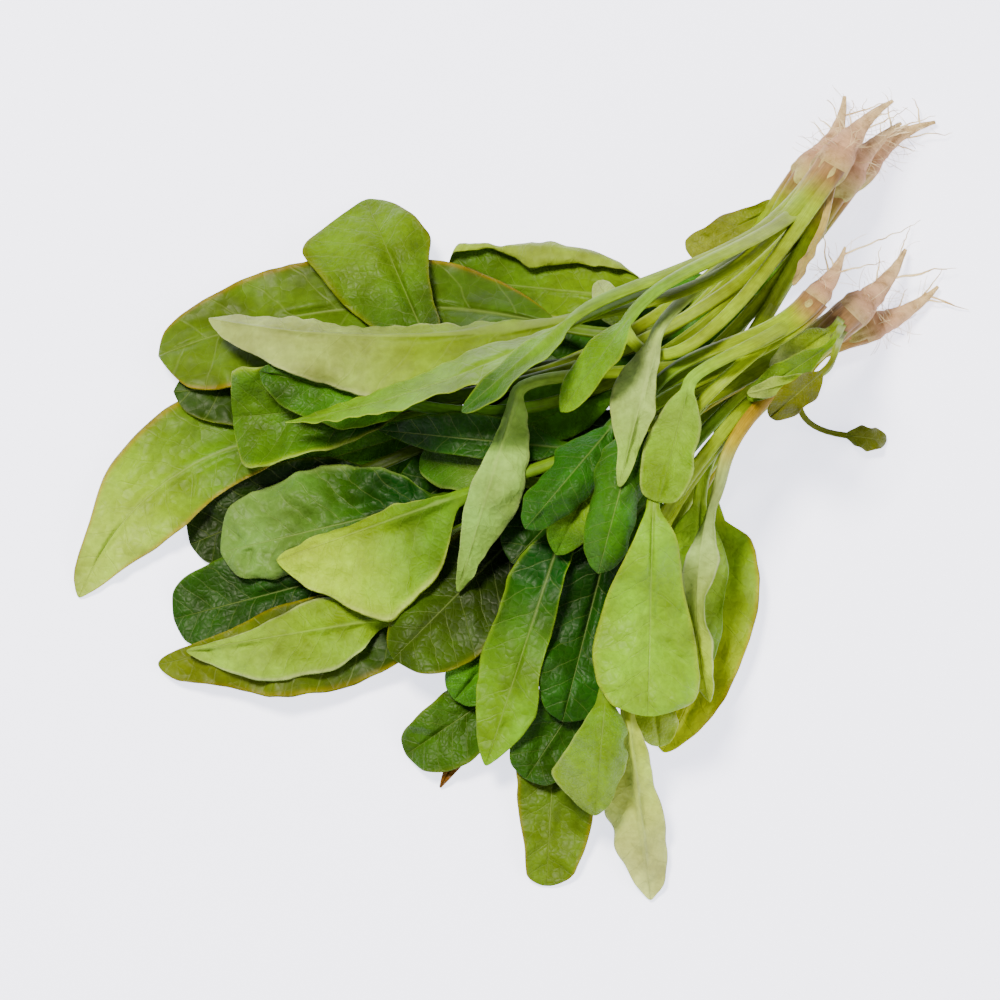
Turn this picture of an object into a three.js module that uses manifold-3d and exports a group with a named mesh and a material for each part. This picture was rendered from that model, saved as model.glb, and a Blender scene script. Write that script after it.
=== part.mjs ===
// A bunch of flat-leaf spinach with its roots on, laid down on its side.
// Millimetres, Z up. The origin is under the middle of the bunch, on the table.
import * as THREE from 'three';
import Module from 'manifold-3d';

const wasm = await Module();
wasm.setup();

// ---------------------------------------------------------------- driving dimensions, mm
const BLADE_THICKNESS = 0.9;
const STALK_WIDTH = 2.7;          // half width of a full-grown stalk where its blade begins
const STALK_FLATNESS = 0.75;      // a stalk's height over its width
const STALK_SWELL = 1.35;         // a stalk is this much wider where it leaves the crown
const CROWN_HEIGHT = 7;           // height of a crown's centre line before the plants are piled
const CROWN_SPREAD = 3;           // how far from that line the stalks start
const CROWN_PROFILE = [[-9, 5.2], [-5, 6.8], [3, 6.8], [10, 5.0]];
const ROOT_START = -9.3;          // a hairline behind the crown's back face
const ROOT_PROFILE = [[0, 5.0], [0.15, 4.6], [0.4, 3.1], [0.7, 1.8], [1, 0.7]];
const ROOTLET_RADIUS = 0.45;
const ROOTLETS_PER_ROOT = 4;
const REST_FLAT = 0.3;            // depth shaved off what touches the table

// the pile of plants
const CELL = 2.5;                 // cell of the height map the plants are laid down on
const MAP_HALF = 230;
const PLANT_GAP = 1.0;            // clearance kept under a plant as it is laid down
const LEAF_GAP = 0.8;             // clearance kept under a leaf on its own plant's leaves
const CLEAR_GAP = 0.7;            // clearance left under every plant in the end
const STIFFNESS = 0.014;          // how sharply a leaf may bend over what is below it, per mm
const LAST_STIFFNESS = 0.003;     // the same for the last lift, which moves more of the plant
const LEAN_TOWARD = [0, -419, 1151]; // the pile draws in toward this far point as it rises

// ---------------------------------------------------------------- the plants
// A half blade: greatest width, where along the blade it is, how the width runs out to the tip
// (small is blunt), its fold at the midrib and the further curl of its margin, in degrees.
const half = (width, peak = 0.5, taper = 0.5, fold = 8, curl = 12) => (
  { width, peak, taper, fold, curl });
// A half blade with an outline of its own: the corners of its margin, each as the part of the
// blade's length and the width there.
const cut = (corners, fold = 8, curl = 12) => (
  { width: Math.max(...corners.map((corner) => corner[1])), corners, fold, curl });

const LEAF = {
  bow: 0,        // sideways bend of the blade
  roll: 0,       // turn of the blade about its own midrib, degrees
  rise: 4.5,     // height of the blade's base
  arch: 4,       // height of its back
  end: 2,        // height of its tip
  under: false,  // true where the underside with its rib lies uppermost
  wave: 1.8,     // ripple of the margins
  ripples: 2.3,
  stalk: STALK_WIDTH,
  near: 0.35,    // how long the stalk keeps the plant's heading, as a part of its reach
  far: 0.38,     // how long it runs in line with the blade
};
const leaf = (base, tip, left, right, more = {}) => ({ base, tip, left, right, ...LEAF, ...more });

const PLANTS = [
  {
    name: 'low_back',
    crown: [133, 131],
    heading: 226,
    root: [26, 8],
    girth: 1,
    green: 0x5b8a2c,
    leaves: [
      leaf([-18, 30], [-80, 10], half(16), half(22)),
      leaf([38, 50], [-36, -6], half(22), half(20)),
      leaf([92, 82], [14, 50], half(21, 0.5, 0.3), half(21, 0.5, 0.3)),
      leaf([-47, 12], [-111, -17], half(16, 0.6, 0.4), half(18, 0.6, 0.4)),
      leaf([-55, -28], [-116, -45], half(16, 0.65, 0.38), half(18, 0.6, 0.38), { arch: 5 }),
      leaf([-27, -39], [-121, -62],
        cut([[0, 6], [0.14, 21], [0.39, 24], [0.6, 23], [0.76, 14], [0.97, 6.5], [1, 2]]),
        cut([[0, 6], [0.2, 13], [0.5, 12], [0.72, 7], [0.94, 3.5], [1, 2]])),
      leaf([-74, 26], [-150, -37],
        cut([[0, 5], [0.12, 12], [0.54, 18], [0.72, 16], [0.94, 6], [1, 1]], 8, -10),
        cut([[0, 14], [0.1, 25], [0.33, 25], [0.6, 18.5], [0.75, 10.5], [0.95, 5], [1, 1]], 8, -16),
        { bow: -15, arch: 7 }),
      leaf([-42, -45], [-111, -57],
        cut([[0, 4], [0.08, 8], [0.26, 16.5], [0.6, 17], [0.76, 13], [0.9, 7], [1, 1]], -8, -15),
        cut([[0, 6], [0.19, 11.5], [0.33, 12], [0.52, 7.5], [0.75, 3], [1, 1]], -10, -12),
        { under: true, wave: 1 }),
    ],
  },
  {
    name: 'low_front',
    crown: [133, 67],
    heading: 200,
    root: [24, -6],
    girth: 0.9,
    green: 0x4e7a1f,
    leaves: [
      leaf([77, -8], [57, -94],
        cut([[0, 4], [0.05, 12], [0.13, 15], [0.25, 16.5], [0.47, 15], [0.69, 12.5], [0.86, 8], [1, 2]]),
        half(16, 0.45, 0.45), { bow: 7, arch: 5, near: 0.3, far: 0.65 }),
      leaf([20, -75], [16, -142],
        cut([[0, 5], [0.3, 18], [0.47, 18], [0.65, 15], [0.8, 12.5], [0.95, 9], [1, 3]]),
        cut([[0, 8], [0.3, 14], [0.5, 12], [0.71, 9.5], [0.97, 7], [1, 3]]), { arch: 5 }),
      leaf([125, 25], [140, 23], half(4.7), half(4.7), { stalk: 1.3, near: 0.5, far: 0.75 }),
      leaf([4, -60], [-21, -107], half(4.5, 0.4, 0.8), half(4.5, 0.4, 0.8)),
      leaf([11, -64], [-33, -95], half(15.5, 0.6, 0.4), half(10.5, 0.65, 0.4)),
      leaf([8, -46], [-16, -75], half(12), half(12)),
      leaf([11, -8], [-38, -60], half(22, 0.6), half(17.5, 0.42, 0.6)),
      leaf([58, 6], [0, -71], half(17.5), half(17.5)),
      leaf([56, 34], [4, -24], half(17), half(20, 0.4)),
      leaf([39, -57], [9, -104], half(14.5, 0.5, 0.4), half(15, 0.5, 0.4)),
      leaf([40, -11], [22, -83], half(16.5, 0.5, 0.45), half(15, 0.5, 0.45)),
    ],
  },
  {
    name: 'back',
    crown: [116, 131],
    heading: 234,
    root: [24, -7],
    girth: 0.95,
    green: 0x55892a,
    leaves: [
      leaf([111, 120], [69, 98], half(12, 0.6, 0.3), half(6.5, 0.6, 0.3)),
      leaf([58, 78], [-20, 87], half(11.5, 0.55, 0.28, 0, 10), half(24.5, 0.52, 0.25, -5, 112)),
      leaf([44, 45], [-7, 21], half(11), half(14), { near: 0.42, far: 0.52 }),
      leaf([7, 51], [-119, 42], half(17, 0.6, 0.4), half(13, 0.6, 0.4), { near: 0.42, far: 0.52 }),
      leaf([22, 68], [-125, 56],
        half(24, 0.7, 0.3), half(21.5), { bow: -13, arch: 5, near: 0.42, far: 0.52 }),
      leaf([-27, 62], [-50, 119],
        cut([[0, 10], [0.5, 26], [0.82, 31], [0.9, 22], [0.95, 11], [1, 3]]),
        cut([[0, 8], [0.2, 8], [0.47, 12.5], [0.62, 17], [0.77, 16], [0.92, 9], [1, 2]]),
        { near: 0.42, far: 0.3 }),
    ],
  },
  {
    name: 'middle_back',
    crown: [128, 126],
    heading: 236,
    root: [24, 5],
    girth: 0.95,
    green: 0x6a9a38,
    leaves: [
      leaf([-22, 0], [-100, -20],
        half(16.5, 0.6, 0.35, -6, -25), half(24, 0.55, 0.42, -6, -30), { arch: 7, wave: 2 }),
      leaf([4, 8], [-29, 16], half(10, 0.55), half(9, 0.55, 0.4)),
      leaf([-36, 38], [-97, 32],
        cut([[0, 6], [0.26, 13], [0.5, 18], [0.74, 20], [0.9, 25.5], [0.96, 16], [1, 4]], 20, 20),
        cut([[0, 4], [0.34, 13], [0.69, 20], [0.91, 23], [0.98, 18], [1, 4]], 20, 20)),
      leaf([-32, 37], [-88, 50], half(15, 0.45, 0.7, 10, 20), half(7, 0.6, 0.5, 15, 20)),
      leaf([24, 20], [-44, 27], half(8, 0.35, 0.9), half(10, 0.45, 0.9)),
    ],
  },
  {
    name: 'front',
    crown: [129, 73],
    heading: 222,
    root: [24, -5],
    girth: 0.95,
    green: 0x73a33c,
    leaves: [
      leaf([53, -66], [56, -92], half(8), half(7.5)),
      leaf([72, 0], [66, -71], half(12), half(13.5)),
      leaf([78, 2], [74, -76],
        half(7, 0.5, 0.5, 0), half(8, 0.5, 0.5, 0),
        { bow: -5, roll: 50, under: true, near: 0.8, far: 0.2 }),
      leaf([45, -82], [52, -147],
        cut([[0, 3], [0.26, 7], [0.54, 8.5], [0.75, 9], [0.92, 5.5], [1, 1]], -12, -10),
        cut([[0, 3], [0.1, 4], [0.29, 9], [0.51, 15], [0.71, 11.5], [0.94, 4], [1, 1]], -25, -15),
        { under: true }),
      leaf([37, -76], [33, -117],
        cut([[0, 5], [0.1, 11], [0.23, 13], [0.48, 11.5], [0.76, 8], [1, 2]], -30, -30),
        cut([[0, 4], [0.23, 8], [0.45, 12.5], [0.67, 17.5], [0.8, 13.5], [1, 2]], -5, -5),
        { wave: 0.8 }),
      leaf([22, -13], [-5, -99],
        cut([[0, 6.5], [0.2, 6.5], [0.39, 7.5], [0.6, 8.5], [0.72, 11], [0.83, 9.5], [0.93, 5], [1, 1]]),
        cut([[0, 6], [0.1, 10.5], [0.22, 13], [0.35, 14.5], [0.51, 14], [0.75, 11], [0.92, 5.5],
          [1, 1]])),
      leaf([-16, 1], [-80, -23],
        cut([[0, 5], [0.11, 16], [0.21, 26], [0.39, 32], [0.56, 38], [0.66, 33], [0.81, 20], [0.95, 10],
          [1, 2]], -8, -10),
        half(5.5, 0.5, 0.5, -25, -20), { arch: 6, under: true, wave: 0.8 }),
      leaf([6, 41], [-15, -35],
        cut([[0, 3], [0.05, 6.5], [0.13, 10], [0.3, 13.5], [0.49, 14], [0.66, 10], [0.82, 5.5],
          [1, 1]], -28, -12),
        cut([[0, 2], [0.17, 3], [0.32, 4], [0.5, 7], [0.63, 6.5], [0.8, 4], [1, 1]], -8, -10),
        { arch: 5, under: true, wave: 0.8, near: 0.4, far: 0.12 }),
      leaf([121, 66], [99, 50], half(6, 0.4), half(6.5, 0.4), { stalk: 1.8 }),
      leaf([119, 59], [90, 39], half(5), half(5.4), { stalk: 1.6 }),
      leaf([115, 48], [90, 41], half(3.6), half(3.6), { under: true, stalk: 1.3, near: 0.5 }),
      leaf([118, 50], [98, 32], half(6), half(5.5), { stalk: 1.3, near: 0.5 }),
    ],
  },
  {
    name: 'middle_front',
    crown: [116, 79],
    heading: 233,
    root: [17, -3],
    girth: 0.7,
    green: 0x86b52c,
    leaves: [
      leaf([36, 13], [20, -21], half(8.5, 0.5, 0.7), half(10, 0.5, 0.8)),
      leaf([41, 29], [9, -11],
        half(11, 0.5, 0.5, -15, -50), half(11, 0.5, 0.5, -15, -50), { arch: 7, wave: 0.8 }),
      leaf([51, 33], [35, -28],
        half(11, 0.5, 0.5, -15, -60), half(11, 0.5, 0.5, -15, -60), { wave: 0.8 }),
      leaf([55, -3], [52, -81],
        cut([[0, 2.5], [0.14, 9], [0.25, 10.5], [0.41, 12], [0.54, 15], [0.66, 17], [0.83, 18.5],
          [0.91, 17], [0.97, 10], [1, 4]], 6, -20),
        cut([[0, 2.5], [0.14, 6], [0.26, 10], [0.42, 15.5], [0.6, 19.5], [0.71, 20.5], [0.82, 19],
          [0.92, 15.5], [0.98, 10], [1, 4]], 6, -20),
        { arch: 7, wave: 0.9, stalk: 2.6 }),
      leaf([69, 45], [57, -1], half(9.5, 0.6, 0.3), half(10, 0.6, 0.3), { under: true, far: 0.15 }),
    ],
  },
  {
    name: 'top',
    crown: [124, 133],
    heading: 238,
    root: [26, 6],
    girth: 1,
    green: 0x9dbb62,
    leaves: [
      leaf([118, 104], [108, 84], half(1.8), half(1.8), { stalk: 1.5, near: 0.3 }),
      leaf([46, 66], [36, 86], half(5.5), half(5.5), { under: true }),
      leaf([57, 63], [43, 5],
        cut([[0, 2.5], [0.19, 3], [0.49, 6], [0.72, 5], [0.88, 3], [1, 1]], -12, -10),
        cut([[0, 3], [0.11, 5], [0.28, 10], [0.47, 12], [0.62, 8.5], [0.75, 4], [1, 1]], -12, -10),
        { under: true, wave: 0.8, near: 0.42, far: 0.2 }),
      leaf([22, 70], [-107, 71],
        cut([[0, 3], [0.17, 9], [0.37, 22], [0.48, 26], [0.59, 24], [0.82, 14.5], [0.98, 5],
          [1, 1]], -10, -15),
        half(9, 0.7, 0.7, -58, -10),
        { bow: 6.5, arch: 6, under: true, wave: 0.8, near: 0.42, far: 0.52 }),
      leaf([24, 68], [-78, 30],
        half(11, 0.35, 1, 0), half(11, 0.35, 1, 0),
        { bow: 5, roll: 55, wave: 0.8, near: 0.42, far: 0.3 }),
      leaf([28, 72], [-14, 34],
        half(8, 0.5, 0.5, 0), half(8, 0.5, 0.5, 0),
        { roll: 50, under: true, wave: 0.8, near: 0.42, far: 0.2 }),
      leaf([48, 72], [22, 34],
        half(7.5, 0.5, 0.6, 0), half(7.5, 0.5, 0.6, 0), { roll: 30, wave: 0.8, near: 0.42, far: 0.3 }),
    ],
  },
];
const ROOT_COLOUR = 0xc49a7c;

// ---------------------------------------------------------------- small helpers
const rad = (degrees) => (degrees * Math.PI) / 180;
const clamp = (x, low, high) => Math.min(high, Math.max(low, x));
const smooth = (x) => x * x * (3 - 2 * x);
const vec = (x, y, z = 0) => new THREE.Vector3(x, y, z);
const mix = (...pairs) => pairs.reduce(
  (sum, [point, weight]) => sum.addScaledVector(point, weight), vec(0, 0));

/** A small repeatable source of numbers between 0 and 1. */
function makeRandom(seed) {
  let state = seed;
  return () => {
    state = (state * 16807) % 2147483647;
    return state / 2147483647;
  };
}

/** The plant's own axes: the way its leaves head, and the way to its left. */
function plantAxes(plant) {
  const turn = rad(plant.heading);
  return {
    ahead: vec(Math.cos(turn), Math.sin(turn)),
    aside: vec(-Math.sin(turn), Math.cos(turn)),
    centre: vec(plant.crown[0], plant.crown[1], CROWN_HEIGHT),
  };
}

// ---------------------------------------------------------------- a leaf
const STALK_STATIONS = [0, 0.2, 0.45, 0.74];
const BLADE_STATIONS = [0, 0.09, 0.25, 0.44, 0.64, 0.84, 0.985];
const SMALL_BLADE_STATIONS = [0, 0.18, 0.45, 0.75, 0.97];
const SMALL_BLADE = 10;           // a leaf no wider than this, each side, needs fewer stations
const ACROSS = [-1, -0.5, 0, 0.5, 1];
const RING = 10;
const CURL_STEPS = 12;

const bladeStations = (item) => (
  Math.max(item.left.width, item.right.width) > SMALL_BLADE ? BLADE_STATIONS : SMALL_BLADE_STATIONS);

/** Height of a line through corners at a place, level beyond both ends. */
function lineAt(corners, x) {
  const next = corners.findIndex(([place]) => place > x);
  if (next < 1) {
    return corners[next === 0 ? 0 : corners.length - 1][1];
  }
  const [from, low] = corners[next - 1];
  const [to, high] = corners[next];
  return low + ((high - low) * (x - from)) / (to - from);
}

/** Width of a half blade along its length, as a part of its greatest width. */
function widthAt(side, along) {
  if (side.corners) {
    const near = [-0.03, 0, 0.03].map((step) => lineAt(side.corners, along + step));
    return (near[0] + near[1] + near[2]) / 3 / side.width;
  }
  if (along < side.peak) {
    return (1 - ((side.peak - along) / side.peak) ** 2.2) ** 0.85;
  }
  return (1 - ((along - side.peak) / (1 - side.peak)) ** 2.2) ** side.taper;
}

/** Centre line of a leaf: the stalk from the crown, then the midrib to the tip. */
function leafLine(plant, item, index) {
  const { ahead, aside, centre } = plantAxes(plant);
  const base = vec(...item.base);
  const tip = vec(...item.tip);
  const chord = tip.clone().sub(base);
  const left = vec(-chord.y, chord.x).normalize();
  const bend = mix([base, 0.5], [tip, 0.5], [left, item.bow * 2]);
  const start = bend.clone().sub(base).normalize();
  const around = (2 * Math.PI * index) / plant.leaves.length;
  const spread = CROWN_SPREAD * plant.girth;
  const root = mix([centre, 1], [aside, Math.cos(around) * spread]);
  const rootHeight = CROWN_HEIGHT + Math.sin(around) * spread;
  root.z = 0;
  const reach = base.distanceTo(root);
  const first = mix([root, 1], [ahead, reach * item.near]);
  const second = mix([base, 1], [start, -reach * item.far]);
  const points = STALK_STATIONS.map((u) => {
    const v = 1 - u;
    const point = mix([root, v ** 3], [first, 3 * v * v * u], [second, 3 * v * u * u], [base, u ** 3]);
    point.z = rootHeight + (item.rise - rootHeight) * smooth(u);
    return point;
  });
  for (const t of bladeStations(item)) {
    const point = mix([base, (1 - t) ** 2], [bend, 2 * t * (1 - t)], [tip, t * t]);
    point.z = item.rise + (item.end - item.rise) * t + item.arch * 4 * t * (1 - t);
    points.push(point);
  }
  return points;
}

/** Directions along, to the left of and up from a centre line. */
function lineFrames(points) {
  const last = points.length - 1;
  return points.map((point, i) => {
    const along = points[Math.min(i + 1, last)].clone().sub(points[Math.max(i - 1, 0)]).normalize();
    const left = vec(0, 0, 1).cross(along).normalize();
    return { point, left, up: along.clone().cross(left) };
  });
}

/** A point of the blade's middle sheet and the sheet's normal there. */
function bladePoint(item, frame, along, across) {
  const sign = across < 0 ? -1 : 1;
  const side = across < 0 ? item.right : item.left;
  const width = Math.max(widthAt(side, along) * side.width, item.stalk * clamp(1 - along, 0.3, 1));
  const reach = Math.abs(across);
  const bend = (part) => sign * rad(item.roll) + rad(side.fold)
    + rad(side.curl) * (part * width / side.width) ** 2;
  let out = 0;
  let up = 0;
  for (let k = 0; k < CURL_STEPS; k += 1) {
    const angle = bend(((k + 0.5) / CURL_STEPS) * reach);
    out += (Math.cos(angle) * width * reach) / CURL_STEPS;
    up += (Math.sin(angle) * width * reach) / CURL_STEPS;
  }
  const angle = bend(reach);
  const phase = item.ripples * along + (across < 0 ? 0.4 : 0);
  const ripple = item.wave * reach ** 2 * Math.sin(2 * Math.PI * phase) * Math.sin(Math.PI * along);
  const normal = mix([frame.left, -Math.sin(angle) * sign], [frame.up, Math.cos(angle)]);
  const point = mix([frame.point, 1], [frame.left, out * sign], [frame.up, up], [normal, ripple]);
  return { point, normal };
}

/** Rings of points round a leaf, from the crown to the tip. */
function leafRings(plant, item, index) {
  const frames = lineFrames(leafLine(plant, item, index));
  const rings = STALK_STATIONS.map((u, i) => {
    const { point, left, up } = frames[i];
    const radius = item.stalk * (STALK_SWELL - (STALK_SWELL - 1) * Math.min(1, u / 0.3))
      * (1 - 0.15 * u);
    return Array.from({ length: RING }, (_, j) => {
      const turn = rad(36 * j - 18);
      const rise = Math.sin(turn) * radius * STALK_FLATNESS;
      return mix([point, 1], [left, -Math.cos(turn) * radius], [up, rise]);
    });
  });
  bladeStations(item).forEach((t, i) => {
    const frame = frames[STALK_STATIONS.length + i];
    const rib = item.stalk * 0.75 * (1 - t) ** 1.2;
    const top = [];
    const bottom = [];
    for (const s of ACROSS) {
      let { point, normal } = bladePoint(item, frame, t, s);
      if (s === 0) {
        const other = bladePoint(item, frame, t, -1e-9).normal;
        normal = normal.clone().add(other).normalize();
      }
      const ribHere = s === 0 ? rib : 0;
      const above = BLADE_THICKNESS / 2 + (item.under ? ribHere : 0);
      const below = BLADE_THICKNESS / 2 + (item.under ? 0 : ribHere);
      top.push(mix([point, 1], [normal, above]));
      bottom.push(mix([point, 1], [normal, -below]));
    }
    rings.push([bottom[0], ...top, bottom[4], bottom[3], bottom[2], bottom[1]]);
  });
  return rings;
}

/** Triangles of a leaf; the upper and the under face are split alike. */
function leafFaces(count) {
  const faces = [];
  for (let i = 0; i < count - 1; i += 1) {
    for (let j = 0; j < RING; j += 1) {
      const a = i * RING + j;
      const b = i * RING + ((j + 1) % RING);
      const c = a + RING;
      const d = b + RING;
      if (j < 5) {
        faces.push([a, d, b], [a, c, d]);
      } else {
        faces.push([a, c, b], [b, c, d]);
      }
    }
  }
  const tip = (count - 1) * RING;
  for (const [a, b, c, d] of [[0, 1, 2, 9], [9, 2, 3, 8], [8, 3, 4, 7], [7, 4, 5, 6]]) {
    faces.push([a, b, c], [a, c, d]);
    faces.push([tip + a, tip + c, tip + b], [tip + a, tip + d, tip + c]);
  }
  return faces;
}

// ---------------------------------------------------------------- crown and root
/** Rings of a round body along a line of points with radii. */
function roundRings(points, radii, sides) {
  return lineFrames(points).map(({ point, left, up }, i) => Array.from({ length: sides }, (_, j) => {
    const turn = (2 * Math.PI * j) / sides;
    return mix([point, 1], [left, -Math.cos(turn) * radii[i]], [up, Math.sin(turn) * radii[i]]);
  }));
}

/** Triangles of a round body, closed at both ends. */
function roundFaces(count, sides) {
  const faces = [];
  for (let i = 0; i < count - 1; i += 1) {
    for (let j = 0; j < sides; j += 1) {
      const a = i * sides + j;
      const b = i * sides + ((j + 1) % sides);
      faces.push([a, b + sides, b], [a, a + sides, b + sides]);
    }
  }
  const end = (count - 1) * sides;
  for (let j = 1; j < sides - 1; j += 1) {
    faces.push([0, j, j + 1], [end, end + j + 1, end + j]);
  }
  return faces;
}

function crownRings(plant) {
  const { ahead, centre } = plantAxes(plant);
  const { girth } = plant;
  const points = CROWN_PROFILE.map(([along]) => mix([centre, 1], [ahead, along * girth]));
  return roundRings(points, CROWN_PROFILE.map(([, radius]) => radius * girth), 8);
}

/** The taproot: straight behind the crown, then bending aside and down toward its tip. */
function rootPoint(plant, part) {
  const { ahead, aside, centre } = plantAxes(plant);
  const [length, bend] = plant.root;
  const behind = ROOT_START * plant.girth - length * part;
  const point = mix([centre, 1], [ahead, behind], [aside, bend * part * part]);
  point.z -= 3.5 * part * part;
  return point;
}

function rootBodies(plant, seed) {
  const random = makeRandom(seed);
  const { ahead, aside } = plantAxes(plant);
  const line = ROOT_PROFILE.map(([part]) => rootPoint(plant, part));
  const bodies = [{
    rings: roundRings(line, ROOT_PROFILE.map(([, radius]) => radius * plant.girth), 8),
    sides: 8,
  }];
  for (let i = 0; i < ROOTLETS_PER_ROOT; i += 1) {
    const from = rootPoint(plant, 0.15 + 0.7 * random());
    const sign = i % 2 ? 1 : -1;
    const length = 9 + 13 * random();
    const sweep = 0.4 + 0.9 * random();
    const curl = (random() - 0.5) * 9;
    const points = [0, 0.5, 1].map((part) => {
      const point = mix([from, 1], [aside, sign * length * part * 0.7],
        [ahead, -length * sweep * part + curl * part * part]);
      point.z -= 2.4 * part * part;
      return point;
    });
    bodies.push({ rings: roundRings(points, points.map(() => ROOTLET_RADIUS), 4), sides: 4 });
  }
  return bodies;
}

// ---------------------------------------------------------------- laying the plants down
const CELLS = Math.round((2 * MAP_HALF) / CELL);
const makeMap = (value) => new Float64Array(CELLS * CELLS).fill(value);
const cellOf = (x) => clamp(Math.floor((x + MAP_HALF) / CELL), 0, CELLS - 1);
const SAMPLES = [];
for (let i = 0; i <= 10; i += 1) {
  for (let j = 0; j <= 10 - i; j += 1) {
    SAMPLES.push([i / 10, j / 10, 1 - i / 10 - j / 10]);
  }
}

/** Writes the highest and the lowest point of a body over each cell into the maps. */
function scan(rings, faces, high, low) {
  const points = rings.flat();
  for (const face of faces) {
    const [a, b, c] = face.map((k) => points[k]);
    for (const [u, v, w] of SAMPLES) {
      const cell = cellOf(a.x * u + b.x * v + c.x * w) * CELLS + cellOf(a.y * u + b.y * v + c.y * w);
      const z = a.z * u + b.z * v + c.z * w;
      high[cell] = Math.max(high[cell], z);
      low[cell] = Math.min(low[cell], z);
    }
  }
}

/** Each cell takes the highest value found among itself and its neighbours. */
function widen(map) {
  const wide = map.slice();
  for (let i = 1; i < CELLS - 1; i += 1) {
    for (let j = 1; j < CELLS - 1; j += 1) {
      for (const k of [-CELLS - 1, -CELLS, -CELLS + 1, -1, 1, CELLS - 1, CELLS, CELLS + 1]) {
        wide[i * CELLS + j] = Math.max(wide[i * CELLS + j], map[i * CELLS + j + k]);
      }
    }
  }
  return wide;
}

/** Spreads peaks of a map outward along one direction as stiff, rounded slopes. */
function spreadAlong(map, step, stiffness) {
  const out = map.slice();
  for (let i = 0; i < CELLS * CELLS; i += 1) {
    if (map[i] > 0) {
      const place = step === 1 ? i % CELLS : Math.floor(i / CELLS);
      const far = Math.min(40, Math.ceil(Math.sqrt(map[i] / stiffness) / CELL));
      for (let k = -Math.min(far, place); k <= Math.min(far, CELLS - 1 - place); k += 1) {
        const value = map[i] - stiffness * (k * CELL) ** 2;
        out[i + k * step] = Math.max(out[i + k * step], value);
      }
    }
  }
  return out;
}

function blurAlong(map, step) {
  const out = makeMap(0);
  for (let i = 0; i < CELLS * CELLS; i += 1) {
    for (let k = -3; k <= 3; k += 1) {
      out[i] += (map[i + k * step] ?? 0) / 7;
    }
  }
  return out;
}

/** How far a body has to rise over each cell to clear the pile, as one smooth field. */
function liftField(pile, low, gap, soft, stiffness = STIFFNESS) {
  const wide = widen(pile);
  let field = makeMap(0);
  for (let i = 0; i < CELLS * CELLS; i += 1) {
    field[i] = low[i] < 5000 ? Math.max(0, wide[i] + gap - low[i]) : 0;
  }
  field = spreadAlong(spreadAlong(field, CELLS, stiffness), 1, stiffness);
  return soft ? blurAlong(blurAlong(field, CELLS), 1) : field;
}

function fieldAt(field, x, y) {
  const gx = (x + MAP_HALF) / CELL - 0.5;
  const gy = (y + MAP_HALF) / CELL - 0.5;
  const i = clamp(Math.floor(gx), 0, CELLS - 2);
  const j = clamp(Math.floor(gy), 0, CELLS - 2);
  const u = clamp(gx - i, 0, 1);
  const v = clamp(gy - j, 0, 1);
  const near = field[i * CELLS + j] * (1 - u) + field[(i + 1) * CELLS + j] * u;
  const next = field[i * CELLS + j + 1] * (1 - u) + field[(i + 1) * CELLS + j + 1] * u;
  return near * (1 - v) + next * v;
}

/** Raises rings by a field; share gives how much of it each ring takes. */
function raise(rings, field, share = () => 1) {
  rings.forEach((ring, i) => ring.forEach((point) => {
    point.z += fieldAt(field, point.x, point.y) * share(i);
  }));
}

/** A leaf is free of its neighbours past the first part of the stalk. */
function freedom(ringIndex) {
  const u = STALK_STATIONS[ringIndex] ?? 1;
  return smooth(clamp((u - 0.12) / 0.35, 0, 1));
}

/** Builds one plant and lays it on the pile. */
function layPlant(plant, index, pile) {
  const leaves = plant.leaves.map((item, i) => leafRings(plant, item, i));
  const round = [{ rings: crownRings(plant), sides: 8 }, ...rootBodies(plant, 100 + index)];
  round.forEach((body) => { body.faces = roundFaces(body.rings.length, body.sides); });
  const scanAll = (high, low) => {
    leaves.forEach((rings) => scan(rings, leafFaces(rings.length), high, low));
    round.forEach((body) => scan(body.rings, body.faces, high, low));
  };
  const raiseAll = (field) => {
    leaves.forEach((rings) => raise(rings, field));
    round.forEach((body) => raise(body.rings, field));
  };
  let low = makeMap(1e4);
  scanAll(makeMap(-1e4), low);
  raiseAll(liftField(pile, low, PLANT_GAP, true));
  const own = makeMap(-1e4);
  for (const rings of leaves) {
    low = makeMap(1e4);
    const free = rings.filter((_, i) => freedom(i) > 0.5);
    scan(free, leafFaces(free.length), makeMap(-1e4), low);
    raise(rings, liftField(own, low, LEAF_GAP, true), freedom);
    scan(rings, leafFaces(rings.length), own, makeMap(1e4));
  }
  for (const stiffness of [STIFFNESS, LAST_STIFFNESS]) {
    low = makeMap(1e4);
    scanAll(makeMap(-1e4), low);
    raiseAll(liftField(pile, low, CLEAR_GAP, false, stiffness));
  }
  scanAll(pile, makeMap(1e4));
  return {
    leaves: [...leaves.map((rings) => ({ rings, faces: leafFaces(rings.length) })), round[0]],
    root: round.slice(1),
  };
}

/** The pile draws in as it rises. */
function lean(point) {
  const share = point.z / LEAN_TOWARD[2];
  point.x += (LEAN_TOWARD[0] - point.x) * share;
  point.y += (LEAN_TOWARD[1] - point.y) * share;
}

// ---------------------------------------------------------------- solids
function toSolid(vertices, triangles) {
  return new wasm.Manifold(new wasm.Mesh({
    numProp: 3,
    vertProperties: Float32Array.from(vertices),
    triVerts: Uint32Array.from(triangles),
  }));
}

function bodySolid({ rings, faces }) {
  const points = rings.flat();
  return toSolid(points.flatMap((point) => [point.x, point.y, point.z]), faces.flat());
}

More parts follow.
